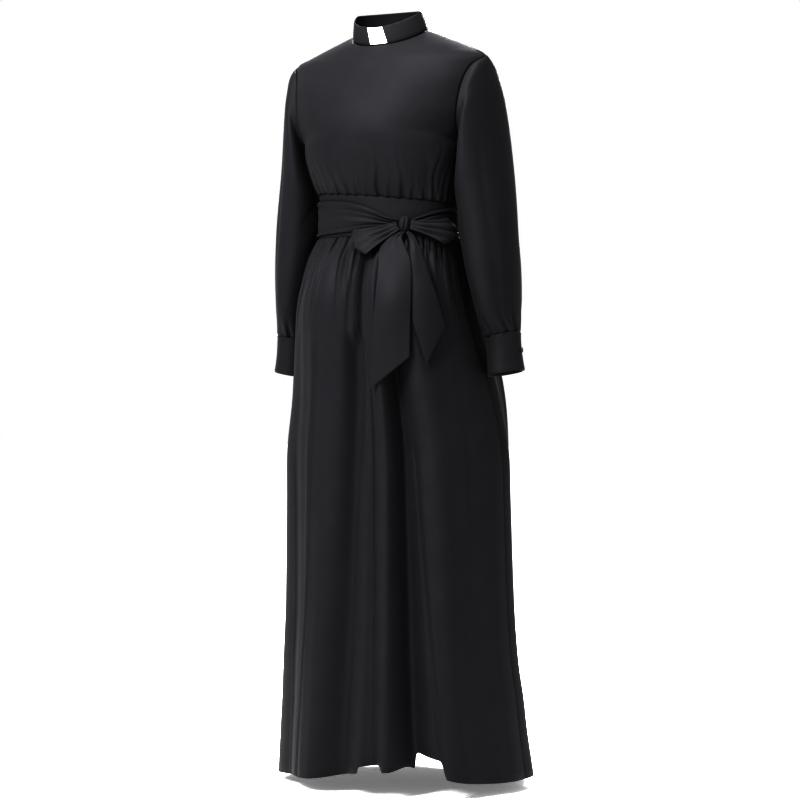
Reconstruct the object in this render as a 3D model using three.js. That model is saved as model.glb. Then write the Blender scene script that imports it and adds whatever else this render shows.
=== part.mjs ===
// A long black clergy dress, standing open and hollow as it is worn.
// Millimetres, +Z up. The wearer faces -Y, and the wearer's left hand is on the +X side.
// The origin lies level with the shoulders' neck points, in the middle of the neck.
// Every piece is a cloth wall: an outer surface worked out from section tables, and an inner
// one a wall's thickness behind it. Pieces that are sewn together lie SEAM_GAP apart.
import * as THREE from 'three';

// Cloth and seams
const CLOTH = 1.6;
const WAISTBAND_WALL = 1.8;
const CUFF_WALL = 2.0;
const COLLAR_WALL = 2.0;
const TAB_WALL = 1.0;
const SASH_WALL = 1.6;
const SEAM_GAP = 0.3;
const HALF_GAP = SEAM_GAP / 2;
const ARMHOLE_GAP = 0.45;
const NECK_GAP = 0.5;

// Main levels and lengths
const WAIST_TOP = -329;
const WAIST_TILT = 0.09; // drop of the waist seam for each millimetre to the wearer's left
const SKIRT_TOP = -408;
const HEM = -1468;
const CUFF_TOP = -597;
const CUFF_BOTTOM = -674;
const CUFF_TILT = 0.18; // rise of a cuff's edges for each millimetre outwards
const CUFF_CENTRE = 229;

// Counts of gathers and columns
const FRONT_GATHERS = 20;
const BACK_GATHERS = 9; // on each back half
const SKIRT_FRONT_GATHERS = 32;
const SKIRT_BACK_GATHERS = 16; // on each back half
const ARMHOLE_STEPS = 6; // from the underarm to the shoulder tip
const SLEEVE_COLUMNS = 4 * ARMHOLE_STEPS;

const DEGREE = Math.PI / 180;
const vector = (x, y, z) => new THREE.Vector3(x, y, z);
const mix = (a, b, t) => a + (b - a) * t;
const bell = (distance, width) => Math.exp(-((distance / width) ** 2));

// A table's rows as objects whose keys are the named columns.
function table(names, rows) {
  const keys = names.split(' ');
  return rows.map((row) => Object.fromEntries(keys.map((key, k) => [key, row[k]])));
}

// Half a bodice section: from its middle (x = 0) to its edge at the side seam, armhole,
// shoulder seam or neck. turn is the arc's angle in degrees, and corner fills it out.
const SECTION = 'level edgeX edgeY edgeZ midY midZ turn corner';
const UNDERARM = 3;
const SHOULDER_TIP = 8;
const NECK = 11;
const BODICE_FRONT = table(SECTION, [
  [0, 141, -6, -329, -112, -329, 90, 0.03],
  [1, 151, -6, -300, -130, -301, 90, 0.03],
  [2, 162, -6, -265, -143, -263, 90, 0.03],
  [3, 170, -6, -232, -151, -222, 88, 0.03],
  [4, 168, -47, -213, -152, -198, 68, 0.02],
  [5, 172, -67, -170, -147, -168, 60, 0],
  [6, 178, -60, -118, -132, -125, 60, 0],
  [7, 188, -37, -79, -113, -90, 62, 0],
  [8, 205, 0, -54, -97, -65, 70, 0],
  [9, 165, 3, -34, -87, -53, 78, 0],
  [10, 118, 5, -14, -78, -42, 85, 0],
  [11, 75.5, 6, 3, -69, -32, 90, 0],
]);
const BODICE_BACK = table(SECTION, [
  [0, 141, -6, -329, 98, -329, 90, 0.03],
  [1, 151, -6, -300, 109, -300, 90, 0.03],
  [2, 162, -6, -265, 118, -262, 90, 0.03],
  [3, 170, -6, -232, 126, -218, 88, 0.03],
  [4, 170, 36, -213, 128, -190, 68, 0.02],
  [5, 175, 58, -170, 127, -155, 60, 0],
  [6, 182, 53, -118, 119, -110, 60, 0],
  [7, 191, 35, -79, 105, -70, 62, 0],
  [8, 205, 0, -54, 91, -38, 70, 0],
  [9, 165, 3, -34, 82, -19, 78, 0],
  [10, 118, 5, -14, 74, -3, 85, 0],
  [11, 75.5, 6, 3, 66, 13, 90, 0],
]);
const ARMHOLE_CENTRE = vector(172, 0, -145);

// Whole sections of the waistband and the skirt. The corners fill out the ellipse between its
// front or back and its sides.
const LOWER_BODY = table('z halfWidth sideY frontY backY frontCorner backCorner', [
  [-300, 140.5, -6, -112, 98, 0.03, 0.03],
  [-329, 141, -6, -112, 98, 0.03, 0.03],
  [-368, 140, -6, -112, 97, 0.03, 0.03],
  [-408, 143, -6, -114, 100, 0.03, 0.03],
  [-424, 148, -4, -124, 108, 0.04, 0.04],
  [-448, 153, -1, -143, 122, 0.06, 0.06],
  [-490, 158, 2, -160, 141, 0.1, 0.1],
  [-540, 165, 6, -166, 163, 0.13, 0.13],
  [-610, 180, 16, -161, 196, 0.09, 0.13],
  [-720, 202, 36, -146, 226, 0.05, 0.09],
  [-824, 221, 42, -139, 224, 0.03, 0.04],
  [-925, 224, 44, -137, 227, 0.02, 0.03],
  [-1120, 229, 49, -135, 234, 0.01, 0.01],
  [-1240, 235.5, 54, -138, 243, 0.01, 0.01],
  [-1319, 243, 64, -140, 259, 0, 0],
  [-1378, 247.5, 68, -141, 268, 0, 0],
  [-1480, 258, 80, -137, 286, 0, 0],
]);

// Sleeve sections, from just below the armhole to the cuff. Each is an ellipse through its
// inner and outer points, halfDepth deep to the front and back, with its front turned
// inwards by lean degrees.
const SLEEVE = table('level innerX innerY innerZ outerX outerY outerZ halfDepth lean', [
  [1, 172, -3, -240, 215, 2, -77, 68, 6],
  [2, 171, -1, -253, 223, 4, -120, 76, 8],
  [3, 166, 3, -276, 231, 8, -185, 80, 9],
  [4, 157, 8, -315, 240, 13, -262, 81, 9],
  [5, 153, 16, -352, 249, 19, -335, 80, 6],
  [6, 156, 21, -410, 254, 23, -404, 79, 4],
  [7, 166, 24, -470, 257, 26, -468, 79, 4],
  [8, 180, 28, -530, 257, 30, -530, 74, 3],
  [9, 189, 29, -571, 257, 31, -561, 62, 2],
  [10, 196, 30, -603, 260, 31, -591, 37, 0],
]);
const CUFF = table('z centreX centreY halfWidth halfDepth', [
  [CUFF_TOP, CUFF_CENTRE, 30.5, 31.5, 37],
  [-634, 230.5, 31, 32, 38],
  [CUFF_BOTTOM, 234, 32, 34, 40.5],
]);
const CUFF_UNDER_START = 172; // degrees from the inner side, round the front, to the overlap
const CUFF_OVER_END = 566;
const CUFF_RISE_START = 498;
const CUFF_RISE_END = 530;
const BUTTON = { angle: 549, z: -634, radius: 5.8, height: 2.6 };

// The stand collar's top edge, over the neck row of the bodice. It leans to the wearer's right.
const COLLAR_TOP = {
  lean: -5,
  halfWidth: 68,
  sideY: 4,
  sideZ: 40,
  frontY: -63,
  frontZ: 4,
  backY: 58,
  backZ: 50,
};
// Where the collar's ends stop, in degrees from centre front, at its base and its top.
const COLLAR_END_LEFT = { base: 20, top: 14 };
const COLLAR_END_RIGHT = { base: -8.5, top: -14.5 };
const TAB_TUCK = 8; // degrees that the tab runs on behind each end

// Skirt folds: angles in degrees from centre front, heights in millimetres outwards.
const FOLDS = table('top hem width topHeight hemHeight', [
  [-62, -68, 9, 3, 9],
  [-46, -50, 6, -3, -7],
  [-29, -34, 4, 3, 5],
  [-20, -26, 7, 5, 11],
  [1, -11, 7, -6, -15],
  [5, 0, 4, 2, 5],
  [16, 13, 4, 8, 15],
  [24, 27, 5.5, -12, -30],
  [36, 45, 8, 7, 15],
  [62, 66, 10, -2, -6],
  [98, 100, 9, 2, 8],
  [114, 114, 8, -3, -12],
  [130, 130, 9, 4, 13],
  [146, 146, 9, -5, -14],
  [165, 164, 9, 4, 13],
  [182, 182, 8, -4, -12],
  [199, 200, 9, 4, 13],
  [217, 217, 9, -4, -13],
  [236, 236, 10, 3, 12],
  [255, 254, 9, -3, -10],
]);
// Where the hem lifts: squareness 2 gives a soft swell, and 4 a flat-topped arch.
const HEM_RISES = table('angle width rise squareness', [
  [15, 30, 32, 2],
  [21, 4, 7, 2],
  [32, 6.6, 35, 14],
  [4.9, 5.9, 13, 14],
  [-75, 22, -9, 2],
]);

// The bow: it faces BOW_FACING degrees to the wearer's left of straight ahead.
const BOW_FACING = 25;
const BOW_RIGHT = vector(Math.cos(BOW_FACING * DEGREE), Math.sin(BOW_FACING * DEGREE), 0);
const BOW_OUT = vector(Math.sin(BOW_FACING * DEGREE), -Math.cos(BOW_FACING * DEGREE), 0);
const KNOT = { across: 28, z: -387, halfWidth: 9.5, halfHeight: 15, depth: 21, clear: 0.5 };
const SASH_CLEAR = 0.8; // from the waistband to the sash
const SASH_FOLDS = 2.5;
// Sash edges round the waist: angle in degrees, and the heights of both edges.
const SASH_EDGES = table('angle upper lower', [
  [-270, -349, -403],
  [-180, -341, -403],
  [-90, -334, -403],
  [-60, -334, -403],
  [-24, -338, -400],
  [-5, -347, -397],
  [8, -359, -394],
  [18, -371, -392],
  [36, -379, -395],
  [44, -371, -398],
  [60, -359, -402],
  [90, -349, -403],
]);
// The hanging ends: the heights and places across of both edges, and the point between them.
const TAIL = 'level leftZ left rightZ right point';
const TAIL_RIGHT_SIDE = table(TAIL, [
  [0, -401.9, 21, -401.9, 29, 0],
  [1, -420, -9, -414, 23, 0],
  [2, -440, -19, -436, 31, 0],
  [3, -474, -22, -462, 39.5, 0],
  [4, -545, -28, -520, 40.5, 0],
  [5, -622, -33, -580, 39, 0],
  [6, -704, -37, -643, 38, 0],
]);
const TAIL_LEFT_SIDE = table(TAIL, [
  [0, -401.2, 30, -401.2, 37, 0],
  [1, -416, 37, -412, 47, 0],
  [2, -448, 40, -434, 58, 4],
  [3, -492, 41, -482, 73, 18],
  [4, -534, 42.5, -530, 90, 44],
  [5, -576, 44, -584, 106, 78],
]);
// The loops: length and tilt of the middle line, width at the tip, how far they stand out,
// how far the tip's corners are rounded off, and how far both layers swell.
const LOOP_RIGHT_SIDE = {
  start: 22.4,
  length: 86,
  drop: 40,
  tipWidth: 56,
  lie: 9,
  puff: 17,
  skew: 0.5,
  rounding: 0.12,
  crown: 4,
};
const LOOP_LEFT_SIDE = {
  start: 28.9,
  length: 92,
  drop: 16,
  tipWidth: 54,
  lie: 8,
  puff: 17,
  skew: 0.4,
  rounding: 0.24,
  crown: 5,
};
const PINCH_WIDTH = 15;
const ROOT_APART = 2.2; // half the room between a loop's two layers where they leave the knot

// Row values at a place along a table, on a smooth curve through its rows.
function rowAt(rows, key, value) {
  const sign = Math.sign(rows[1][key] - rows[0][key]);
  let k = 0;
  while (k < rows.length - 2 && (value - rows[k + 1][key]) * sign > 0) {
    k += 1;
  }
  const slope = (column, i) => {
    const before = rows[Math.max(i - 1, 0)];
    const after = rows[Math.min(i + 1, rows.length - 1)];
    return (after[column] - before[column]) / (after[key] - before[key]);
  };
  const span = rows[k + 1][key] - rows[k][key];
  const t = (value - rows[k][key]) / span;
  const result = {};
  for (const column of Object.keys(rows[0])) {
    result[column] =
      (2 * t ** 3 - 3 * t ** 2 + 1) * rows[k][column] +
      (t ** 3 - 2 * t ** 2 + t) * span * slope(column, k) +
      (3 * t ** 2 - 2 * t ** 3) * rows[k + 1][column] +
      (t ** 3 - t ** 2) * span * slope(column, k + 1);
  }
  return result;
}

// A closed wall between two grids of points, given as rows of columns.
function shell(outer, inner, closed) {
  const rows = outer.length;
  const columns = outer[0].length;
  const positions = [...outer.flat(), ...inner.flat()].flatMap((p) => [p.x, p.y, p.z]);
  const outerIndex = (r, c) => r * columns + (c % columns);
  const innerIndex = (r, c) => rows * columns + outerIndex(r, c);
  const faces = [];
  const quad = (a, b, c, d) => faces.push(a, b, c, a, c, d);
  const spans = closed ? columns : columns - 1;
  for (let r = 0; r < rows - 1; r += 1) {
    for (let c = 0; c < spans; c += 1) {
      quad(outerIndex(r, c), outerIndex(r, c + 1), outerIndex(r + 1, c + 1), outerIndex(r + 1, c));
      quad(innerIndex(r, c), innerIndex(r + 1, c), innerIndex(r + 1, c + 1), innerIndex(r, c + 1));
    }
  }
  for (let c = 0; c < spans; c += 1) {
    quad(outerIndex(0, c), innerIndex(0, c), innerIndex(0, c + 1), outerIndex(0, c + 1));
    const r = rows - 1;
    quad(outerIndex(r, c), outerIndex(r, c + 1), innerIndex(r, c + 1), innerIndex(r, c));
  }
  if (!closed) {
    for (let r = 0; r < rows - 1; r += 1) {
      quad(outerIndex(r, 0), outerIndex(r + 1, 0), innerIndex(r + 1, 0), innerIndex(r, 0));
      const c = columns - 1;
      quad(outerIndex(r, c), innerIndex(r, c), innerIndex(r + 1, c), outerIndex(r + 1, c));
    }
  }
  return outwards(positions, faces);
}

// Geometry with its faces turned outwards, whichever way round the grid was.
function outwards(positions, faces) {
  const corner = (i) => vector(...positions.slice(3 * i, 3 * i + 3));
  let volume = 0;
  for (let f = 0; f < faces.length; f += 3) {
    volume += corner(faces[f]).dot(corner(faces[f + 1]).cross(corner(faces[f + 2])));
  }
  if (volume < 0) {
    for (let f = 0; f < faces.length; f += 3) {
      [faces[f], faces[f + 1]] = [faces[f + 1], faces[f]];
    }
  }
  const geometry = new THREE.BufferGeometry();
  geometry.setAttribute('position', new THREE.Float32BufferAttribute(positions, 3));
  geometry.setIndex(faces);
  geometry.computeVertexNormals();
  return geometry;
}

const DERIVATIVE_STEP = 1e-4;

function slopes(surface, u, v) {
  const h = DERIVATIVE_STEP;
  const alongU = surface(u + h, v).sub(surface(u - h, v)).divideScalar(2 * h);
  const alongV = surface(u, v + h).sub(surface(u, v - h)).divideScalar(2 * h);
  return { alongU, alongV };
}

// The grids of a cloth piece on surface(u, v).
// us and vs are its columns and rows, facing turns the surface's normal outwards, and lift is
// its height over the surface. seams names the side edges, first and last, that are set back
// by half a seam's gap. startZ and endZ give the height of a first or last row whose rim lies
// in a plane, such as a waist seam. rim gives other rims their own direction.
function grids({ surface, us, vs, facing = 1, wall = CLOTH, lift = () => 0, seams = '', startZ, endZ, rim }) {
  const outer = [];
  const inner = [];
  vs.forEach((v, j) => {
    const planeZ = (j === 0 && startZ) || (j === vs.length - 1 && endZ);
    const outerRow = [];
    const innerRow = [];
    us.forEach((u, i) => {
      const { alongU, alongV } = slopes(surface, u, v);
      const at = { j, v, firstU: i === 0, lastU: i === us.length - 1 };
      const seamHere = (at.firstU && seams.includes('first')) || (at.lastU && seams.includes('last'));
      const setBack = seamHere && !(rim && rim.open && rim.open(at));
      const inwards = Math.sign(us[us.length - 1] - us[0]) * (at.firstU ? 1 : -1);
      const seamU = setBack ? u + (inwards * HALF_GAP) / alongU.length() : u;
      const normal = alongU.cross(alongV).normalize().multiplyScalar(facing);
      let out = planeZ ? vector(normal.x, normal.y, 0).normalize() : normal;
      const point = surface(seamU, v).addScaledVector(out, lift(u, v, i));
      if (rim && rim.out) out = rim.out(at, point, out) || out;
      const behind = point.clone().addScaledVector(out, -wall);
      if (planeZ) {
        point.z = planeZ(point);
        behind.z = planeZ(behind);
      }
      outerRow.push(point);
      innerRow.push(behind);
    });
    outer.push(outerRow);
    inner.push(innerRow);
  });
  return { outer, inner };
}

const panel = (options) => {
  const { outer, inner } = grids(options);
  return shell(outer, inner, Boolean(options.closed));
};

// Evenly spaced values, with the inner ones shifted by up to a share of a step.
function spread(from, to, count, unevenness = 0) {
  const step = (to - from) / count;
  return Array.from({ length: count + 1 }, (_, i) => {
    const shift = i > 0 && i < count ? unevenness * step * Math.sin(2.4 * i + 0.7 * Math.sin(i)) : 0;
    return from + step * i + shift;
  });
}

const mirrored = (grid) => grid.map((row) => row.map((p) => vector(-p.x, p.y, p.z)));
const unevenness = (i) => 0.75 + 0.35 * Math.sin(1.7 * i + 1.1 * Math.sin(0.61 * i));
const gather = (i) => (i % 2 === 0 ? 1 : -1) * unevenness(i);

// Heights of the planes that the seams lie in, half a gap above or below.
const overWaist = (p) => WAIST_TOP - WAIST_TILT * p.x + HALF_GAP;
const underWaist = (p) => WAIST_TOP - WAIST_TILT * p.x - HALF_GAP;
const overSkirt = () => SKIRT_TOP + HALF_GAP;
const underWaistband = () => SKIRT_TOP - HALF_GAP;
const cuffRise = (x) => CUFF_TILT * (x - CUFF_CENTRE);
const overCuff = (p) => CUFF_TOP + cuffRise(p.x) + HALF_GAP;
const underSleeve = (p) => CUFF_TOP + cuffRise(p.x) - HALF_GAP;

// ---- Bodice ----

const bodiceLevels = [
  ...spread(0, UNDERARM, 3),
  ...spread(UNDERARM, SHOULDER_TIP, ARMHOLE_STEPS).slice(1),
  ...spread(SHOULDER_TIP, NECK, 3).slice(1),
];

// u runs from -1, the wearer's right edge, to 1, the left edge.
function bodiceSurface(rows) {
  return (u, level) => {
    const row = rowAt(rows, 'level', level);
    const turn = row.turn * DEGREE;
    const angle = u * turn;
    const fill = 1 + row.corner * Math.sin(Math.PI * u) ** 2;
    const depth = (Math.cos(angle) - Math.cos(turn)) / (1 - Math.cos(turn));
    const x = ((row.edgeX * Math.sin(angle)) / Math.sin(turn)) * fill;
    const y = row.edgeY + (row.midY - row.edgeY) * depth * fill;
    const tilt = WAIST_TILT * Math.max(0, 1 - level / UNDERARM) ** 2;
    return vector(x, y, mix(row.edgeZ, row.midZ, depth) - tilt * x);
  };
}

const frontSurface = bodiceSurface(BODICE_FRONT);
const backSurface = bodiceSurface(BODICE_BACK);

// Both sides of an armhole seam share the direction of their rims, so that the walls meet
// edge to edge over the shoulder and part under the arm.
function armholeOut(point, normal) {
  const side = Math.sign(point.x);
  const centre = vector(side * ARMHOLE_CENTRE.x, ARMHOLE_CENTRE.y, ARMHOLE_CENTRE.z);
  const away = point.clone().sub(centre).normalize();
  const own = THREE.MathUtils.clamp(0.3 - away.z, 0, 1);
  return away.addScaledVector(normal, own).normalize();
}

// The neck seam's rims point out and up, between the shoulder's normal and the collar's.
function neckOut(normal) {
  return vector(normal.x, normal.y, 0).normalize().multiplyScalar(0.79).setZ(0.61);
}

const inArmhole = (level) => level > UNDERARM + 0.01 && level < SHOULDER_TIP - 0.01;

// The front and back share one rim direction along their side and shoulder seams.
function bodiceEdgeOut(u, level) {
  const front = slopes(frontSurface, u, level);
  const back = slopes(backSurface, u, level);
  const frontOut = front.alongU.cross(front.alongV).normalize();
  const backOut = back.alongV.cross(back.alongU).normalize();
  return frontOut.add(backOut).normalize();
}

function bodiceRim(outerFirst, outerLast) {
  const atEdge = ({ firstU, lastU }) => (firstU && outerFirst) || (lastU && outerLast);
  return {
    open: (at) => atEdge(at) && inArmhole(at.v),
    out: (at, point, normal) => {
      const out = atEdge(at) ? bodiceEdgeOut(at.firstU ? -1 : 1, at.v) : normal;
      if (at.v === NECK) return neckOut(out);
      if (at.v === 0) return vector(out.x, out.y, 0).normalize();
      const onArmhole = at.v >= UNDERARM && at.v <= SHOULDER_TIP;
      return atEdge(at) && onArmhole ? armholeOut(point, out) : out;
    },
  };
}

const GATHER_AT_WAIST = 2.3;
const GATHER_FADE = 2.4; // levels over which the bodice gathers die away

const bodiceLift = (u, level, i) => gather(i) * GATHER_AT_WAIST * bell(level, GATHER_FADE);

const bodiceFront = () =>
  panel({
    surface: frontSurface,
    us: spread(-1, 1, 2 * FRONT_GATHERS, 0.25),
    vs: bodiceLevels,
    lift: bodiceLift,
    seams: 'first last',
    startZ: overWaist,
    rim: bodiceRim(true, true),
  });

const bodiceBack = (side) =>
  panel({
    surface: backSurface,
    us: side > 0 ? spread(0, 1, 2 * BACK_GATHERS, 0.25) : spread(-1, 0, 2 * BACK_GATHERS, 0.25),
    vs: bodiceLevels,
    facing: -1,
    lift: bodiceLift,
    seams: 'first last',
    startZ: overWaist,
    rim: bodiceRim(side < 0, side > 0),
  });

// ---- Sleeves and cuffs ----

// The armhole's corners, from the underarm up the front, over the tip and down the back,
// with a point halfway along each side between them.
const armholeCorners = (() => {
  const levels = spread(UNDERARM, SHOULDER_TIP, ARMHOLE_STEPS);
  const front = levels.map((level) => frontSurface(1, level));
  const back = levels.map((level) => backSurface(1, level));
  return [...front, ...back.reverse().slice(1)];
})();

function armhole(turn) {
  const place = (((turn % 1) + 1) % 1) * (armholeCorners.length - 1);
  const k = Math.floor(place);
  return armholeCorners[k].clone().lerp(armholeCorners[k + 1], place - k).add(vector(ARMHOLE_GAP, 0, 0));
}

// turn runs from 0 at the inner side, by the front, outer side and back, to 1.
function sleeveSection(turn, level) {
  const row = rowAt(SLEEVE, 'level', level);
  const angle = turn * 2 * Math.PI;
  const innerPoint = vector(row.innerX, row.innerY, row.innerZ);
  const outerPoint = vector(row.outerX, row.outerY, row.outerZ);
  const centre = innerPoint.clone().lerp(outerPoint, 0.5);
  const lean = row.lean * DEGREE;
  const front = vector(-Math.sin(lean), -Math.cos(lean), 0).multiplyScalar(row.halfDepth);
  const across = outerPoint.sub(innerPoint).multiplyScalar(-Math.cos(angle) / 2);
  return centre.add(across).addScaledVector(front, Math.sin(angle));
}

function sleeveSurface(turn, level) {
  if (level >= 1) return sleeveSection(turn, level);
  return armhole(turn).lerp(sleeveSection(turn, 1), level);
}

const SLEEVE_GATHER = 2;
const SLEEVE_END = SLEEVE.length;
const sleeveLift = (turn, level, i) => gather(i) * SLEEVE_GATHER * bell(SLEEVE_END - level, 1.6);

function sleeve(side) {
  const { outer, inner } = grids({
    surface: sleeveSurface,
    us: spread(0, 1, SLEEVE_COLUMNS).slice(0, -1),
    vs: spread(0, SLEEVE_END, SLEEVE_END),
    facing: -1,
    lift: (turn, level, i) => (level === 0 ? 0 : sleeveLift(turn, level, i)),
    endZ: overCuff,
    rim: { out: (at, point, normal) => (at.v === 0 ? armholeOut(point, normal) : undefined) },
  });
  return side > 0 ? shell(outer, inner, true) : shell(mirrored(outer), mirrored(inner), true);
}

function cuffSurface(degrees, z) {
  const row = rowAt(CUFF, 'z', z);
  const angle = degrees * DEGREE;
  const rise = THREE.MathUtils.smoothstep(degrees, CUFF_RISE_START, CUFF_RISE_END);
  const proud = rise * (CUFF_WALL + SEAM_GAP + 0.3);
  const x = row.centreX - (row.halfWidth + proud) * Math.cos(angle);
  return vector(x, row.centreY - (row.halfDepth + proud) * Math.sin(angle), z + cuffRise(x));
}

function cuff(side) {
  const { outer, inner } = grids({
    surface: cuffSurface,
    us: spread(CUFF_UNDER_START, CUFF_OVER_END, 26),
    vs: [CUFF_TOP, -634, CUFF_BOTTOM],
    facing: 1,
    wall: CUFF_WALL,
    startZ: underSleeve,
  });
  return side > 0 ? shell(outer, inner, false) : shell(mirrored(outer), mirrored(inner), false);
}

function cuffButton(side) {
  const { radius, height } = BUTTON;
  const profile = [
    [0, 0],
    [radius * 0.9, 0],
    [radius, height * 0.3],
    [radius * 0.85, height * 0.85],
    [radius * 0.55, height],
    [0, height * 0.8],
  ].map(([x, y]) => new THREE.Vector2(x, y));
  const geometry = new THREE.LatheGeometry(profile, 14);
  const { alongU, alongV } = slopes(cuffSurface, BUTTON.angle, BUTTON.z);
  const out = alongU.cross(alongV).normalize();
  const place = cuffSurface(BUTTON.angle, BUTTON.z).addScaledVector(out, SEAM_GAP);
  place.x *= side;
  out.x *= side;
  geometry.applyQuaternion(new THREE.Quaternion().setFromUnitVectors(vector(0, 1, 0), out));
  geometry.translate(place.x, place.y, place.z);
  return geometry;
}

// ---- Collar ----

// degrees from centre front, positive to the wearer's left; height from 0, base, to 1, top.
function collarSurface(degrees, height) {
  const angle = degrees * DEGREE;
  const cosine = Math.cos(angle);
  const neck = (cosine > 0 ? BODICE_FRONT : BODICE_BACK)[NECK];
  const top = COLLAR_TOP;
  const base = vector(
    neck.edgeX * Math.sin(angle),
    neck.edgeY + (neck.midY - neck.edgeY) * Math.abs(cosine),
    neck.edgeZ + (neck.midZ - neck.edgeZ) * Math.abs(cosine),
  );
  const topY = cosine > 0 ? top.frontY : top.backY;
  const topZ = cosine > 0 ? top.frontZ : top.backZ;
  const rim = vector(
    top.lean + top.halfWidth * Math.sin(angle),
    top.sideY + (topY - top.sideY) * Math.abs(cosine),
    top.sideZ + (topZ - top.sideZ) * Math.abs(cosine),
  );
  return base.lerp(rim, height).add(vector(0, 0, NECK_GAP));
}

const neckRim = { out: (at, point, normal) => (at.j === 0 ? neckOut(normal) : undefined) };

function collarHalf(side) {
  const end = side > 0 ? COLLAR_END_LEFT : COLLAR_END_RIGHT;
  const surface = (t, height) => collarSurface(mix(mix(end.base, end.top, height), side * 180, t), height);
  return panel({
    surface,
    us: spread(0, 1, 18),
    vs: [0, 0.5, 1],
    facing: side,
    wall: COLLAR_WALL,
    seams: 'last',
    rim: neckRim,
  });
}

function collarTab() {
  const behind = COLLAR_WALL + 2 * SEAM_GAP;
  const surface = (t, height) => {
    const right = mix(COLLAR_END_RIGHT.base, COLLAR_END_RIGHT.top, height) - TAB_TUCK;
    const left = mix(COLLAR_END_LEFT.base, COLLAR_END_LEFT.top, height) + TAB_TUCK;
    return collarSurface(mix(right, left, t), height);
  };
  return panel({
    surface,
    us: spread(0, 1, 8),
    vs: [0.05, 0.5, 0.98],
    wall: TAB_WALL,
    lift: () => -behind,
  });
}

// ---- Waistband and skirt ----

function bodyRing(degrees, z) {
  const row = rowAt(LOWER_BODY, 'z', z);
  const angle = degrees * DEGREE;
  const inFront = Math.cos(angle) > 0;
  const corner = inFront ? row.frontCorner : row.backCorner;
  const fill = 1 + corner * Math.sin(2 * angle) ** 2;
  const depth = inFront ? row.sideY - row.frontY : row.backY - row.sideY;
  return vector(
    row.halfWidth * Math.sin(angle) * fill,
    row.sideY - depth * Math.cos(angle) * fill,
    z,
  );
}

function waistbandSurface(degrees, down) {
  const x = bodyRing(degrees, WAIST_TOP).x;
  return bodyRing(degrees, mix(WAIST_TOP - WAIST_TILT * x, SKIRT_TOP, down));
}

const waistband = (from, to, columns) =>
  panel({
    surface: waistbandSurface,
    us: spread(from, to, columns),
    vs: [0, 0.35, 0.7, 1],
    facing: -1,
    wall: WAISTBAND_WALL,
    seams: 'first last',
    startZ: underWaist,
    endZ: overSkirt,
  });

const angleFrom = (degrees, centre) => ((((degrees - centre + 180) % 360) + 360) % 360) - 180;

// down runs from 0 at the waistband to 1 at the hem.
function foldHeight(degrees, down) {
  const grown = down ** 0.8;
  return FOLDS.reduce((sum, fold) => {
    const centre = mix(fold.top, fold.hem, down);
    const height = mix(fold.topHeight, fold.hemHeight, grown);
    return sum + height * bell(angleFrom(degrees, centre), fold.width);
  }, 0);
}

function hemHeight(degrees) {
  return HEM_RISES.reduce(
    (z, { angle, width, rise, squareness }) =>
      z + rise * Math.exp(-(Math.abs(angleFrom(degrees, angle) / width) ** squareness)),
    HEM,
  );
}

const skirtSurface = (degrees, down) => bodyRing(degrees, mix(SKIRT_TOP, hemHeight(degrees), down));

const SKIRT_GATHER = 2.6;
const SKIRT_LEVELS = [0, 0.015, 0.038, 0.078, 0.145, 0.26, 0.44, 0.7, 1];
const FOLD_START = 0.05; // share of the skirt's length over which the folds come up

function skirtLift(degrees, down, i) {
  const fold = foldHeight(degrees, down) * THREE.MathUtils.smoothstep(down, 0, FOLD_START);
  return fold + gather(i) * SKIRT_GATHER * bell(down, 0.13);
}

const skirt = (from, to, gathers) =>
  panel({
    surface: skirtSurface,
    us: spread(from, to, 2 * gathers, 0.22),
    vs: SKIRT_LEVELS,
    facing: -1,
    lift: skirtLift,
    seams: 'first last',
    startZ: underWaistband,
  });

// ---- Sash and bow ----

// The place on the body, moved out, that lies this far across as the bow faces.
function onBody(across, z, out) {
  let low = BOW_FACING - 80;
  let high = BOW_FACING + 80;
  for (let k = 0; k < 40; k += 1) {
    const middle = (low + high) / 2;
    if (bodyRing(middle, z).dot(BOW_RIGHT) < across) low = middle;
    else high = middle;
  }
  return bodyRing(low, z).addScaledVector(BOW_OUT, out);
}

// The same, moved out between the way the bow faces and the body's own outward direction.
function besideBody(across, z, out) {
  const place = onBody(across, z, 0);
  const row = rowAt(LOWER_BODY, 'z', z);
  const round = vector(place.x, place.y - row.sideY, 0).normalize();
  return place.addScaledVector(round.add(BOW_OUT).normalize(), out);
}

const angleAcross = (across, z) => {
  const point = onBody(across, z, 0);
  const row = rowAt(LOWER_BODY, 'z', z);
  return Math.asin(point.x / row.halfWidth) / DEGREE;
};

function sashSurface(degrees, down) {
  const row = rowAt(SASH_EDGES, 'angle', degrees);
  return bodyRing(degrees, mix(row.upper, row.lower, down));
}

// Soft folds run along the sash and close up towards the knot.
function sashLift(degrees, down) {
  const nearKnot = bell(degrees - 27, 60);
  const folds = 1.2 * nearKnot * (1 + Math.sin(down * SASH_FOLDS * 2 * Math.PI));
  const roll = 1.8 * bell(down - 0.1, 0.09);
  return SASH_CLEAR + SASH_WALL + folds + roll;
}

const sash = (from, to, columns, rows, seams) =>
  panel({
    surface: sashSurface,
    us: spread(from, to, columns),
    vs: spread(0, 1, rows),
    facing: -1,
    wall: SASH_WALL,
    lift: sashLift,
    seams,
  });

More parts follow.
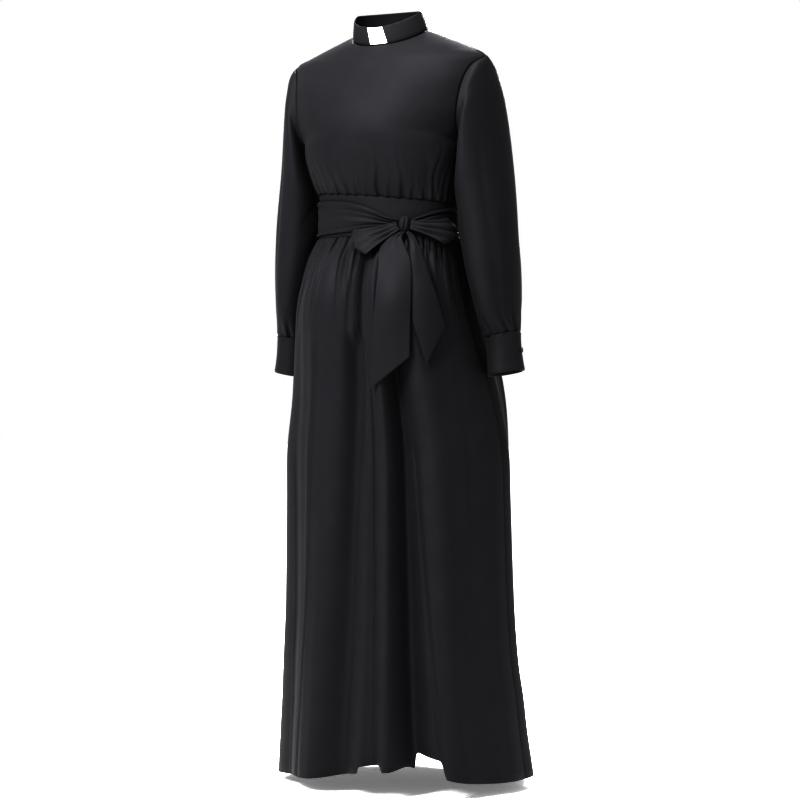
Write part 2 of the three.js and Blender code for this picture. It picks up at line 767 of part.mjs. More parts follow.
// The knot: a short fat wrap, pressed flat against the waistband, with soft ridges.
function sashKnot() {
  const columns = 16;
  const rows = 8;
  const positions = [];
  const faces = [];
  const place = (turn, rise) => {
    const round = Math.cos((rise - 0.5) * Math.PI) ** 0.5;
    const ridge = 1 + 0.07 * Math.cos(3 * turn) * round;
    const across = KNOT.across + KNOT.halfWidth * round * ridge * Math.cos(turn);
    const z = KNOT.z + KNOT.halfHeight * Math.sin((rise - 0.5) * Math.PI) + 2 * round * Math.cos(turn);
    const out = KNOT.clear + (KNOT.depth / 2) * (1 + round * ridge * Math.sin(turn));
    const foot = onBody(KNOT.across, KNOT.z, out);
    return foot.addScaledVector(BOW_RIGHT, across - KNOT.across).setZ(z);
  };
  const add = (p) => positions.push(p.x, p.y, p.z) / 3 - 1;
  const bottom = add(place(0, 0));
  for (let r = 1; r < rows; r += 1) {
    for (let c = 0; c < columns; c += 1) add(place((2 * Math.PI * c) / columns, r / rows));
  }
  const top = add(place(0, 1));
  const index = (r, c) => 1 + (r - 1) * columns + (c % columns);
  for (let c = 0; c < columns; c += 1) {
    faces.push(bottom, index(1, c + 1), index(1, c));
    faces.push(top, index(rows - 1, c), index(rows - 1, c + 1));
    for (let r = 1; r < rows - 1; r += 1) {
      faces.push(index(r, c), index(r, c + 1), index(r + 1, c + 1));
      faces.push(index(r, c), index(r + 1, c + 1), index(r + 1, c));
    }
  }
  return outwards(positions, faces);
}

// along runs from 0 at the knot, out over the front to the tip at 0.5, and back behind to 1.
// width runs from -1, the lower edge, to 1, the upper edge.
function loopSurface(loop, side) {
  return (along, width) => {
    const swell = Math.sin(Math.PI * along) ** 1.1;
    const rounded = 1 - loop.rounding * swell * Math.abs(width) ** 2.5;
    const reach = Math.sin(Math.PI * along) ** 0.85 * rounded;
    const halfWidth = mix(PINCH_WIDTH, loop.tipWidth, swell) / 2;
    const length = Math.hypot(loop.length, loop.drop);
    const way = { across: (side * loop.length) / length, z: -loop.drop / length };
    const up = { across: side * (loop.drop / length), z: loop.length / length };
    const across = loop.start + way.across * length * reach + up.across * halfWidth * width;
    const z = KNOT.z + way.z * length * reach + up.z * halfWidth * width;
    const ply = Math.sin(2 * Math.PI * along) * (1 - loop.skew * width);
    const layer = Math.cos(Math.PI * along);
    const crown = loop.crown * layer * swell * (1 - width ** 2);
    const out = loop.lie + ROOT_APART * layer + crown + loop.puff * (0.5 + 0.5 * ply) * mix(0.55, 1, swell);
    return besideBody(across, z, out);
  };
}

const bowLoop = (loop, side) =>
  panel({
    surface: loopSurface(loop, side),
    us: spread(0.02, 0.98, 20),
    vs: spread(-1, 1, 4),
    facing: side,
    wall: SASH_WALL,
  });

function tailSurface(rows, out) {
  return (t, level) => {
    const row = rowAt(rows, 'level', level);
    const peak = 1 - Math.abs(t - 0.42) / (t < 0.42 ? 0.42 : 0.58);
    const z = mix(row.leftZ, row.rightZ, t) - row.point * peak;
    const cup = 3 * Math.sin(Math.PI * t) * Math.min(1, level);
    return onBody(mix(row.left, row.right, t), z, out + cup);
  };
}

const tail = (rows, out) =>
  panel({
    surface: tailSurface(rows, out),
    us: [0, 0.2, 0.42, 0.7, 1],
    vs: spread(0, rows.length - 1, 2 * (rows.length - 1)),
    wall: SASH_WALL,
  });

// ---- The dress ----

const cloth = () => new THREE.MeshStandardMaterial({ color: 0x1d1d1f, roughness: 0.78, metalness: 0 });
const tabPlastic = () => new THREE.MeshStandardMaterial({ color: 0xf4f4f1, roughness: 0.4, metalness: 0 });
const buttonPlastic = () => new THREE.MeshStandardMaterial({ color: 0x141416, roughness: 0.35, metalness: 0 });

const dress = new THREE.Group();

function sew(name, geometry, material = cloth()) {
  const mesh = new THREE.Mesh(geometry, material);
  mesh.name = name;
  dress.add(mesh);
}

const KNOT_LEFT_EDGE = angleAcross(KNOT.across + KNOT.halfWidth + 1.2, KNOT.z);
const KNOT_RIGHT_EDGE = angleAcross(KNOT.across - KNOT.halfWidth - 1.2, KNOT.z);

sew('bodice_front', bodiceFront());
sew('bodice_back_left', bodiceBack(1));
sew('bodice_back_right', bodiceBack(-1));
sew('sleeve_left', sleeve(1));
sew('sleeve_right', sleeve(-1));
sew('cuff_left', cuff(1));
sew('cuff_right', cuff(-1));
sew('cuff_button_left', cuffButton(1), buttonPlastic());
sew('cuff_button_right', cuffButton(-1), buttonPlastic());
sew('collar_left', collarHalf(1));
sew('collar_right', collarHalf(-1));
sew('collar_tab', collarTab(), tabPlastic());
sew('waistband_front', waistband(-90, 90, 28));
sew('waistband_back_left', waistband(90, 180, 14));
sew('waistband_back_right', waistband(-180, -90, 14));
sew('skirt_front', skirt(-90, 90, SKIRT_FRONT_GATHERS));
sew('skirt_back_left', skirt(90, 180, SKIRT_BACK_GATHERS));
sew('skirt_back_right', skirt(-180, -90, SKIRT_BACK_GATHERS));
sew('sash_wrap_right', sash(-90, KNOT_RIGHT_EDGE, 18, 8, 'first'));
sew('sash_wrap_left', sash(KNOT_LEFT_EDGE, 90, 9, 8, 'last'));
sew('sash_wrap_back', sash(-270, -90, 22, 4, 'first last'));
sew('sash_knot', sashKnot());
sew('bow_loop_right', bowLoop(LOOP_RIGHT_SIDE, -1));
sew('bow_loop_left', bowLoop(LOOP_LEFT_SIDE, 1));
sew('sash_tail_right', tail(TAIL_RIGHT_SIDE, 16.5));
sew('sash_tail_left', tail(TAIL_LEFT_SIDE, 12.5));

export default dress;
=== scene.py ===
"""A long black clergy dress in crepe, worn open and hollow, with a tied sash.

Lengths are in millimetres until a mesh is made. +Z is up, the wearer faces -Y, and the
wearer's left hand is on the +X side. Each cloth piece is a thin wall on the form of its
solid, with its gathers, folds and creases worked out finely.
"""
import math

import bpy
import numpy as np
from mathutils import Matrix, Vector


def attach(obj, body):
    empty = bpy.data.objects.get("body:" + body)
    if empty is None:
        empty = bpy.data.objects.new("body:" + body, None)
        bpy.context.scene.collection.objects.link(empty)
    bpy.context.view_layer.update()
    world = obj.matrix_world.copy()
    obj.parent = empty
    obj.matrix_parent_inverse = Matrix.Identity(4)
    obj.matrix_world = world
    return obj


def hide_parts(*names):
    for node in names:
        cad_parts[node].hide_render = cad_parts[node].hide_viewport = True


MM = 0.001
WALL = 1.1
STIFF_WALL = 1.6
WAISTBAND_WALL = 1.3
TAB_WALL = 0.9
RIM_ROUND = 0.35  # how far a wall's rim stands out, as a share of the wall
HALF_GAP = 0.15
ARMHOLE_GAP = 0.45
NECK_GAP = 0.5
SEAM_DIP = 0.8
SEAM_DIP_WIDTH = 1.6

WAIST_TOP = -329.0
WAIST_TILT = 0.09
SKIRT_TOP = -408.0
HEM = -1468.0
CUFF_TOP = -597.0
CUFF_BOTTOM = -674.0
CUFF_TILT = 0.18
CUFF_CENTRE = 229.0
FLOOR = -1492.0

FRONT_GATHERS = 20
BACK_GATHERS = 9
SKIRT_FRONT_GATHERS = 32
SKIRT_BACK_GATHERS = 16
ARMHOLE_STEPS = 48
SLEEVE_WAVES = 12


def table(names, rows):
    """Columns by name, as arrays."""
    return {name: np.array([row[k] for row in rows], float) for k, name in enumerate(names.split())}


SECTION = "level edgeX edgeY edgeZ midY midZ turn corner"
UNDERARM = 3.0
SHOULDER_TIP = 8.0
NECK = 11.0
BODICE_FRONT = table(SECTION, [
    [0, 141, -6, -329, -112, -329, 90, 0.03],
    [1, 151, -6, -300, -130, -301, 90, 0.03],
    [2, 162, -6, -265, -143, -263, 90, 0.03],
    [3, 170, -6, -232, -151, -222, 88, 0.03],
    [4, 168, -47, -213, -152, -198, 68, 0.02],
    [5, 172, -67, -170, -147, -168, 60, 0],
    [6, 178, -60, -118, -132, -125, 60, 0],
    [7, 188, -37, -79, -113, -90, 62, 0],
    [8, 205, 0, -54, -97, -65, 70, 0],
    [9, 165, 3, -34, -87, -53, 78, 0],
    [10, 118, 5, -14, -78, -42, 85, 0],
    [11, 75.5, 6, 3, -69, -32, 90, 0],
])
BODICE_BACK = table(SECTION, [
    [0, 141, -6, -329, 98, -329, 90, 0.03],
    [1, 151, -6, -300, 109, -300, 90, 0.03],
    [2, 162, -6, -265, 118, -262, 90, 0.03],
    [3, 170, -6, -232, 126, -218, 88, 0.03],
    [4, 170, 36, -213, 128, -190, 68, 0.02],
    [5, 175, 58, -170, 127, -155, 60, 0],
    [6, 182, 53, -118, 119, -110, 60, 0],
    [7, 191, 35, -79, 105, -70, 62, 0],
    [8, 205, 0, -54, 91, -38, 70, 0],
    [9, 165, 3, -34, 82, -19, 78, 0],
    [10, 118, 5, -14, 74, -3, 85, 0],
    [11, 75.5, 6, 3, 66, 13, 90, 0],
])
ARMHOLE_CENTRE = np.array([172.0, 0.0, -145.0])

LOWER_BODY = table("z halfWidth sideY frontY backY frontCorner backCorner", [
    [-300, 140.5, -6, -112, 98, 0.03, 0.03],
    [-329, 141, -6, -112, 98, 0.03, 0.03],
    [-368, 140, -6, -112, 97, 0.03, 0.03],
    [-408, 143, -6, -114, 100, 0.03, 0.03],
    [-424, 148, -4, -124, 108, 0.04, 0.04],
    [-448, 153, -1, -143, 122, 0.06, 0.06],
    [-490, 158, 2, -160, 141, 0.1, 0.1],
    [-540, 165, 6, -166, 163, 0.13, 0.13],
    [-610, 180, 16, -161, 196, 0.09, 0.13],
    [-720, 202, 36, -146, 226, 0.05, 0.09],
    [-824, 221, 42, -139, 224, 0.03, 0.04],
    [-925, 224, 44, -137, 227, 0.02, 0.03],
    [-1120, 229, 49, -135, 234, 0.01, 0.01],
    [-1240, 235.5, 54, -138, 243, 0.01, 0.01],
    [-1319, 243, 64, -140, 259, 0, 0],
    [-1378, 247.5, 68, -141, 268, 0, 0],
    [-1480, 258, 80, -137, 286, 0, 0],
])

SLEEVE = table("level innerX innerY innerZ outerX outerY outerZ halfDepth lean", [
    [1, 172, -3, -240, 215, 2, -77, 68, 6],
    [2, 171, -1, -253, 223, 4, -120, 76, 8],
    [3, 166, 3, -276, 231, 8, -185, 80, 9],
    [4, 157, 8, -315, 240, 13, -262, 81, 9],
    [5, 153, 16, -352, 249, 19, -335, 80, 6],
    [6, 156, 21, -410, 254, 23, -404, 79, 4],
    [7, 166, 24, -470, 257, 26, -468, 79, 4],
    [8, 180, 28, -530, 257, 30, -530, 74, 3],
    [9, 189, 29, -571, 257, 31, -561, 62, 2],
    [10, 196, 30, -603, 260, 31, -591, 37, 0],
])
SLEEVE_END = 10.0
CUFF = table("z centreX centreY halfWidth halfDepth", [
    [CUFF_TOP, CUFF_CENTRE, 30.5, 31.5, 37],
    [-634, 230.5, 31, 32, 38],
    [CUFF_BOTTOM, 234, 32, 34, 40.5],
])
CUFF_UNDER_START = 172.0
CUFF_OVER_END = 566.0
CUFF_RISE = (498.0, 530.0)
CUFF_STEP = 2.6
BUTTON = {"angle": 549.0, "z": -634.0, "radius": 5.8, "height": 2.6, "clear": 0.3}

COLLAR_TOP = {"lean": -5.0, "halfWidth": 68.0, "sideY": 4.0, "sideZ": 40.0,
              "frontY": -63.0, "frontZ": 4.0, "backY": 58.0, "backZ": 50.0}
COLLAR_END_LEFT = (20.0, 14.0)
COLLAR_END_RIGHT = (-8.5, -14.5)
TAB_TUCK = 8.0
TAB_DEPTH = 2.6

FOLDS = table("top hem width topHeight hemHeight", [
    [-62, -68, 9, 3, 9],
    [-46, -50, 6, -3, -7],
    [-29, -34, 4, 3, 5],
    [-20, -26, 7, 5, 11],
    [1, -11, 7, -6, -15],
    [5, 0, 4, 2, 5],
    [16, 13, 4, 8, 15],
    [24, 27, 5.5, -12, -30],
    [36, 45, 8, 7, 15],
    [62, 66, 10, -2, -6],
    [98, 100, 9, 2, 8],
    [114, 114, 8, -3, -12],
    [130, 130, 9, 4, 13],
    [146, 146, 9, -5, -14],
    [165, 164, 9, 4, 13],
    [182, 182, 8, -4, -12],
    [199, 200, 9, 4, 13],
    [217, 217, 9, -4, -13],
    [236, 236, 10, 3, 12],
    [255, 254, 9, -3, -10],
])
HEM_RISES = table("angle width rise squareness", [
    [15, 30, 32, 2],
    [21, 4, 7, 2],
    [32, 6.6, 35, 14],
    [4.9, 5.9, 13, 14],
    [-75, 22, -9, 2],
])
# Narrower creases in the skirt: angles at their upper and lower ends, the shares of the
# skirt's length that they run from and to, the share of their own length after which they
# fade, width in degrees, and height.
SKIRT_CREASES = table("upper lower start end hold width height", [
    [-25, -38, 0.16, 1.0, 1, 0.42, 2.4],
    [-26.6, -39.5, 0.17, 1.0, 1, 0.9, -2.0],
    [-51, -51.5, 0.38, 0.92, 0.6, 0.45, 1.8],
    [5.5, 0, 0.0, 0.50, 0.5, 2.6, -15],
    [-1, -15, 0.17, 1.0, 1, 5.6, -18],
    [21.5, 23.5, 0.18, 1.0, 1, 3.2, -14],
    [15, 15, 0.20, 1.0, 1, 2.2, 3.0],
    [5, 1.5, 0.30, 1.0, 1, 2.0, 2.6],
    [8.6, 8.4, 0.26, 1.0, 1, 1.0, -3.6],
    [28, 38.5, 0.38, 1.0, 1, 1.1, -4.2],
    [31, 41, 0.42, 1.0, 1, 1.8, 1.6],
    [-26.2, -31, 0.0, 0.18, 0.4, 1.3, -4.2],
    [-22.5, -22.5, 0.0, 0.08, 0.4, 0.9, -3.0],
    [-10.4, -8, 0.0, 0.13, 0.35, 1.4, -5.0],
    [-3, -6, 0.06, 0.23, 0.4, 1.5, -3.2],
    [-0.5, -3.5, 0.04, 0.26, 0.5, 1.7, 3.0],
    [-38, -44, 0.0, 0.11, 0.35, 1.2, -3.0],
    [-47, -55, 0.02, 0.22, 0.4, 1.7, -3.6],
    [-66, -70, 0.02, 0.28, 0.35, 2.0, -3.0],
    [-78, -80, 0.02, 0.36, 0.35, 2.0, 2.2],
    [40, 42, 0.0, 0.12, 0.4, 1.2, -3.0],
    [49.5, 60, 0.0, 0.20, 0.5, 2.0, -7.0],
    [63, 67, 0.01, 0.15, 0.4, 1.6, 3.0],
    [72, 76, 0.02, 0.22, 0.5, 2.0, -4.8],
    [85, 89, 0.02, 0.30, 0.5, 2.0, -4.2],
    [104, 106, 0.02, 0.34, 0.35, 2.0, -3.4],
    [121, 122, 0.01, 0.46, 0.35, 2.2, -4.0],
    [138, 139, 0.02, 0.30, 0.35, 2.0, 2.6],
    [154, 155, 0.01, 0.52, 0.35, 2.2, -4.4],
    [173, 172, 0.02, 0.36, 0.35, 2.0, -3.2],
    [190, 191, 0.02, 0.44, 0.35, 2.0, 2.6],
    [208, 209, 0.01, 0.33, 0.35, 2.2, -4.4],
    [226, 226, 0.02, 0.50, 0.35, 2.0, -3.4],
    [245, 245, 0.02, 0.30, 0.35, 2.2, 2.8],
    [262, 261, 0.01, 0.42, 0.35, 2.0, -3.6],
])
# Soft creases in the bodice: where they start and end (across, level), width and height.
BODICE_CREASES = table("fromU fromLevel toU toLevel width height", [
    [-0.97, 3.6, -0.55, 2.7, 9, -1.6],
    [-0.98, 4.4, -0.62, 3.9, 10, -1.3],
    [0.97, 3.7, 0.58, 2.8, 9, -1.6],
    [0.98, 4.5, 0.66, 4.0, 10, -1.3],
    [-0.30, 0.4, -0.22, 3.2, 10, -1.5],
    [-0.08, 0.4, -0.05, 3.6, 11, 1.3],
    [0.16, 0.4, 0.14, 3.3, 10, -1.4],
    [0.40, 0.4, 0.32, 2.9, 10, 1.4],
    [0.62, 0.4, 0.50, 2.6, 9, -1.5],
    [-0.60, 0.4, -0.46, 2.8, 9, 1.4],
])
# Soft creases in a sleeve, as turn and level.
SLEEVE_CREASES = table("fromU fromLevel toU toLevel width height", [
    [0.36, 3.2, 0.33, 9.3, 9, -3.0],
    [0.41, 5.0, 0.38, 9.4, 8, 2.0],
    [0.22, 4.2, 0.25, 8.8, 12, -1.8],
    [0.06, 4.4, 0.17, 5.6, 8, -2.4],
    [0.04, 5.0, 0.15, 6.4, 8, 1.8],
    [0.60, 4.6, 0.62, 9.2, 10, -2.4],
    [0.76, 3.6, 0.73, 9.0, 11, -2.2],
    [0.90, 4.4, 0.84, 6.0, 9, -2.2],
    [0.12, 0.9, 0.30, 2.0, 9, -1.6],
    [0.88, 0.9, 0.72, 2.0, 9, -1.6],
])

BOW_FACING = math.radians(25)
BOW_RIGHT = np.array([math.cos(BOW_FACING), math.sin(BOW_FACING), 0.0])
BOW_OUT = np.array([math.sin(BOW_FACING), -math.cos(BOW_FACING), 0.0])
KNOT = {"across": 28.0, "z": -387.0, "halfWidth": 9.5, "halfHeight": 15.0, "depth": 21.0, "clear": 0.5}
KNOT_SIDE = 1.2
SASH_CLEAR = 0.8
SASH_EDGES = table("angle upper lower", [
    [-270, -349, -403],
    [-180, -341, -403],
    [-90, -334, -403],
    [-60, -334, -403],
    [-24, -338, -400],
    [-5, -347, -397],
    [8, -359, -394],
    [18, -371, -392],
    [36, -379, -395],
    [44, -371, -398],
    [60, -359, -402],
    [90, -349, -403],
])
TAIL = "level leftZ left rightZ right point"
TAIL_RIGHT_SIDE = table(TAIL, [
    [0, -401.9, 21, -401.9, 29, 0],
    [1, -420, -9, -414, 23, 0],
    [2, -440, -19, -436, 31, 0],
    [3, -474, -22, -462, 39.5, 0],
    [4, -545, -28, -520, 40.5, 0],
    [5, -622, -33, -580, 39, 0],
    [6, -704, -37, -643, 38, 0],
])
TAIL_LEFT_SIDE = table(TAIL, [
    [0, -401.2, 30, -401.2, 37, 0],
    [1, -416, 37, -412, 47, 0],
    [2, -448, 40, -434, 58, 4],
    [3, -492, 41, -482, 73, 18],
    [4, -534, 42.5, -530, 90, 44],
    [5, -576, 44, -584, 106, 78],
])
LOOP_RIGHT_SIDE = {"start": 22.4, "length": 86.0, "drop": 40.0, "tipWidth": 56.0,
                   "lie": 9.0, "puff": 17.0, "skew": 0.5, "rounding": 0.12, "crown": 4.0}
LOOP_LEFT_SIDE = {"start": 28.9, "length": 92.0, "drop": 16.0, "tipWidth": 54.0,
                  "lie": 8.0, "puff": 17.0, "skew": 0.4, "rounding": 0.24, "crown": 5.0}
PINCH_WIDTH = 15.0
ROOT_APART = 2.2


# ---- Numbers ----

def row_at(rows, key, value):
    """Every column at places along the key column, on smooth curves through the rows."""
    value = np.asarray(value, float)
    keys = rows[key]
    count = len(keys)
    sign = np.sign(keys[1] - keys[0])
    k = np.clip(np.searchsorted(keys * sign, value * sign, side="left") - 1, 0, count - 2)
    before = np.maximum(np.arange(count) - 1, 0)
    after = np.minimum(np.arange(count) + 1, count - 1)
    span = keys[k + 1] - keys[k]
    t = (value - keys[k]) / span
    result = {}
    for column, data in rows.items():
        slope = (data[after] - data[before]) / (keys[after] - keys[before])
        result[column] = ((2 * t**3 - 3 * t**2 + 1) * data[k]
                          + (t**3 - 2 * t**2 + t) * span * slope[k]
                          + (3 * t**2 - 2 * t**3) * data[k + 1]
                          + (t**3 - t**2) * span * slope[k + 1])
    return result


def mix(a, b, t):
    return a + (b - a) * t


def bell(distance, width):
    return np.exp(-(distance / width) ** 2)


def smoothstep(value, low, high):
    t = np.clip((value - low) / (high - low), 0, 1)
    return t * t * (3 - 2 * t)


def xyz(x, y, z):
    return np.stack(np.broadcast_arrays(x, y, z), axis=-1).astype(float)


def unit(vectors):
    length = np.linalg.norm(vectors, axis=-1, keepdims=True)
    return vectors / np.maximum(length, 1e-9)


def level_only(vectors):
    return unit(vectors * np.array([1.0, 1.0, 0.0]))


def spread(start, end, count, unevenness=0.0):
    i = np.arange(count + 1)
    step = (end - start) / count
    shift = unevenness * step * np.sin(2.4 * i + 0.7 * np.sin(i))
    shift[0] = 0
    shift[-1] = 0
    return start + step * i + shift


def eased(start, end, count, power):
    """Places that lie closer together near the start."""
    return start + (end - start) * np.linspace(0, 1, count + 1) ** power


def gather_heights(count):
    """Alternating ridges and troughs, each with its own height."""
    i = np.arange(count)
    uneven = 0.75 + 0.35 * np.sin(1.7 * i + 1.1 * np.sin(0.61 * i))
    return np.where(i % 2 == 0, 1, -1) * uneven


def wave(places, heights, at):
    """The height at a place, eased from each ridge to the next trough."""
    k = np.clip(np.searchsorted(places, at, side="right") - 1, 0, len(places) - 2)
    t = (at - places[k]) / (places[k + 1] - places[k])
    return mix(heights[k], heights[k + 1], 0.5 - 0.5 * np.cos(np.pi * np.clip(t, 0, 1)))


GATHER_PINCH = 2.2


def pinched(height):
    """A gather's ridges are wide and round, and its troughs narrow and deep."""
    return 1 - 2 * np.clip((1 - height) / 2, 0, None) ** GATHER_PINCH


def angle_from(degrees, centre):
    return (degrees - centre + 180) % 360 - 180


# ---- Meshes ----

DERIVATIVE_STEP = 1e-4


def slopes(surface, u, v):
    h = DERIVATIVE_STEP
    along_u = (surface(u + h, v) - surface(u - h, v)) / (2 * h)
    along_v = (surface(u, v + h) - surface(u, v - h)) / (2 * h)
    return along_u, along_v


def grid_normals(points, closed):
    """Normals of a grid of points by the neighbours of each."""
    if closed:
        along_u = np.roll(points, -1, axis=1) - np.roll(points, 1, axis=1)
    else:
        along_u = np.gradient(points, axis=1)
    along_v = np.gradient(points, axis=0)
    return unit(np.cross(along_u, along_v))


def smooth_object(name, mesh):
    """An object at the origin that holds the mesh, with its faces shaded smooth."""
    mesh.polygons.foreach_set("use_smooth", np.ones(len(mesh.polygons), bool))
    mesh.update()
    made = bpy.data.objects.new(name, mesh)
    bpy.context.scene.collection.objects.link(made)
    return made


def mesh_object(name, vertices, faces, uvs=None):
    """An object in metres from lists of corners. uvs holds one pair for each vertex."""
    mesh = bpy.data.meshes.new(name)
    mesh.from_pydata((np.asarray(vertices) * MM).tolist(), [], faces)
    if uvs is not None:
        layer = mesh.uv_layers.new(name="cloth")
        corners = np.empty(len(mesh.loops), np.int32)
        mesh.loops.foreach_get("vertex_index", corners)
        layer.data.foreach_set("uv", np.asarray(uvs, np.float32)[corners].ravel())
    return smooth_object(name, mesh)


def shell(name, outer, inner, closed):
    """A closed wall between two grids of points, with a rounded rim."""
    rows, columns = outer.shape[:2]
    thickness = np.linalg.norm(outer - inner, axis=-1, keepdims=True)

    def rim(edge_outer, edge_inner, next_outer, size):
        away = unit(edge_outer - next_outer)
        return (edge_outer + edge_inner) / 2 + away * size * RIM_ROUND

    rims = [rim(outer[0], inner[0], outer[1], thickness[0]),
            rim(outer[-1], inner[-1], outer[-2], thickness[-1])]
    sides = []
    if not closed:
        sides = [rim(outer[:, 0], inner[:, 0], outer[:, 1], thickness[:, 0])[1:-1],
                 rim(outer[:, -1], inner[:, -1], outer[:, -2], thickness[:, -1])[1:-1]]
    vertices = np.concatenate([outer.reshape(-1, 3), inner.reshape(-1, 3)] + rims + sides)
    out = np.arange(rows * columns).reshape(rows, columns)
    back = out + rows * columns
    first = 2 * rows * columns + np.arange(columns)
    last = first + columns
    if closed:
        out, back = (np.concatenate([a, a[:, :1]], axis=1) for a in (out, back))
        first, last = (np.concatenate([a, a[:1]]) for a in (first, last))
    a, b, c, d = out[:-1, :-1], out[:-1, 1:], out[1:, 1:], out[1:, :-1]
    faces = [np.stack([a, b, c, d], -1).reshape(-1, 4)]
    a, b, c, d = back[:-1, :-1], back[1:, :-1], back[1:, 1:], back[:-1, 1:]
    faces.append(np.stack([a, b, c, d], -1).reshape(-1, 4))

    def strip(one, two):
        return np.stack([one[:-1], two[:-1], two[1:], one[1:]], -1)

    faces += [strip(out[0], first), strip(first, back[0])]
    faces += [strip(last, out[-1]), strip(back[-1], last)]
    if not closed:
        start = 2 * rows * columns + 2 * columns
        left = np.concatenate([first[:1], start + np.arange(rows - 2), last[:1]])
        right = np.concatenate([first[-1:], start + rows - 2 + np.arange(rows - 2), last[-1:]])
        faces += [strip(left, out[:, 0]), strip(back[:, 0], left)]
        faces += [strip(out[:, -1], right), strip(right, back[:, -1])]
    quads = np.concatenate(faces)
    corner = vertices[quads[: (rows - 1) * (columns - 1)]]
    facing = np.cross(corner[:, 2] - corner[:, 0], corner[:, 3] - corner[:, 1])
    behind = corner[:, 0] - vertices[quads[: (rows - 1) * (columns - 1), 0] + rows * columns]
    if np.sum(facing * behind) < 0:
        quads = quads[:, ::-1]
    across = np.linalg.norm(np.diff(outer, axis=1), axis=-1)
    across = np.concatenate([np.zeros((rows, 1)), np.cumsum(across, axis=1)], axis=1)
    across -= across[:, -1:] / 2
    along = np.linalg.norm(np.diff(outer, axis=0), axis=-1).mean(axis=1)
    along = np.concatenate([[0], np.cumsum(along)])[:, None] + np.zeros((rows, columns))
    flat = np.stack([across, along], -1)
    parts = [flat.reshape(-1, 2), flat.reshape(-1, 2), flat[0], flat[-1]]
    if not closed:
        parts += [flat[1:-1, 0], flat[1:-1, -1]]
    return mesh_object(name, vertices, quads.tolist(), np.concatenate(parts) * MM)


class Cloth:
    """A piece's outer points and the directions of its wall, worked out on a grid.

    us and vs are its columns and rows. facing turns the surface's normal outwards, and
    lift(u, v) is the height over the surface. seams names the side edges that are set back
    by half a seam. start_z and end_z give the height of a first or last row that lies in a
    plane. rim_out gives the wall's direction on other rims.
    """

    def __init__(self, surface, us, vs, facing=1, wall=WALL, lift=None, seams="",
                 start_z=None, end_z=None, rim_out=None, closed=False):
        us = np.array(us, float)
        u, v = np.meshgrid(us, np.asarray(vs, float))
        along_u, along_v = slopes(surface, u, v)
        normal = unit(np.cross(along_u, along_v)) * facing
        place_u = u.copy()
        way = np.sign(us[-1] - us[0])
        if "first" in seams:
            place_u[:, 0] += way * HALF_GAP / np.linalg.norm(along_u[:, 0], axis=-1)
        if "last" in seams:
            place_u[:, -1] -= way * HALF_GAP / np.linalg.norm(along_u[:, -1], axis=-1)
        if start_z:
            normal[0] = level_only(normal[0])
        if end_z:
            normal[-1] = level_only(normal[-1])
        points = surface(place_u, v)
        if lift:
            points = points + normal * lift(u, v)[..., None]
        if start_z:
            points[0, :, 2] = start_z(points[0])
        if end_z:
            points[-1, :, 2] = end_z(points[-1])
        out = grid_normals(points, closed)
        out *= np.sign(np.sum(out * normal, axis=-1, keepdims=True))
        if start_z:
            out[0] = level_only(out[0])
        if end_z:
            out[-1] = level_only(out[-1])
        if rim_out:
            out = rim_out(u, v, points, out)
        self.points = points
        self.out = out
        self.wall = wall
        self.closed = closed

    def make(self, name, mirror=False):
        outer = self.points.copy()
        inner = self.points - self.out * self.wall
        if mirror:
            outer[..., 0] *= -1
            inner[..., 0] *= -1
        return shell(name, outer, inner, self.closed)


def creased(surface, creases, u, v):
    """Soft troughs and ridges, each along a line between two places on the surface."""
    points = surface(u, v)
    total = np.zeros(u.shape)
    for k in range(len(creases["width"])):
        start = surface(creases["fromU"][k], creases["fromLevel"][k])
        end = surface(creases["toU"][k], creases["toLevel"][k])
        line = end - start
        share = np.clip(((points - start) @ line) / (line @ line), 0, 1)
        gap = np.linalg.norm(points - start - share[..., None] * line, axis=-1)
        fade = np.sin(np.pi * np.clip(share, 0.02, 0.98)) ** 0.6
        total += creases["height"][k] * fade * bell(gap, creases["width"][k])
    return total


# Heights of the planes that the seams lie in.
def over_waist(p):
    return WAIST_TOP - WAIST_TILT * p[..., 0] + HALF_GAP


def under_waist(p):
    return WAIST_TOP - WAIST_TILT * p[..., 0] - HALF_GAP


def over_skirt(p):
    return SKIRT_TOP + HALF_GAP + 0 * p[..., 0]


def under_waistband(p):
    return SKIRT_TOP - HALF_GAP + 0 * p[..., 0]


def cuff_rise(x):
    return CUFF_TILT * (x - CUFF_CENTRE)


def over_cuff(p):
    return CUFF_TOP + cuff_rise(p[..., 0]) + HALF_GAP


def under_sleeve(p):
    return CUFF_TOP + cuff_rise(p[..., 0]) - HALF_GAP


# ---- Bodice ----

def bodice_surface(rows):
    def surface(u, level):
        row = row_at(rows, "level", level)
        turn = np.radians(row["turn"])
        angle = u * turn
        fill = 1 + row["corner"] * np.sin(np.pi * u) ** 2
        depth = (np.cos(angle) - np.cos(turn)) / (1 - np.cos(turn))
        x = row["edgeX"] * np.sin(angle) / np.sin(turn) * fill
        y = row["edgeY"] + (row["midY"] - row["edgeY"]) * depth * fill
        tilt = WAIST_TILT * np.maximum(0, 1 - level / UNDERARM) ** 2
        return xyz(x, y, mix(row["edgeZ"], row["midZ"], depth) - tilt * x)
    return surface


front_surface = bodice_surface(BODICE_FRONT)
back_surface = bodice_surface(BODICE_BACK)


def armhole_out(points, normal):
    """The direction that the walls on both sides of an armhole seam share."""
    side = np.sign(points[..., :1])
    centre = ARMHOLE_CENTRE * np.concatenate([side, np.ones_like(side), np.ones_like(side)], -1)
    away = unit(points - centre)
    own = np.clip(0.3 - away[..., 2:], 0, 1)
    return unit(away + normal * own)


def neck_out(normal):
    out = level_only(normal) * 0.79
    out[..., 2] = 0.61
    return out


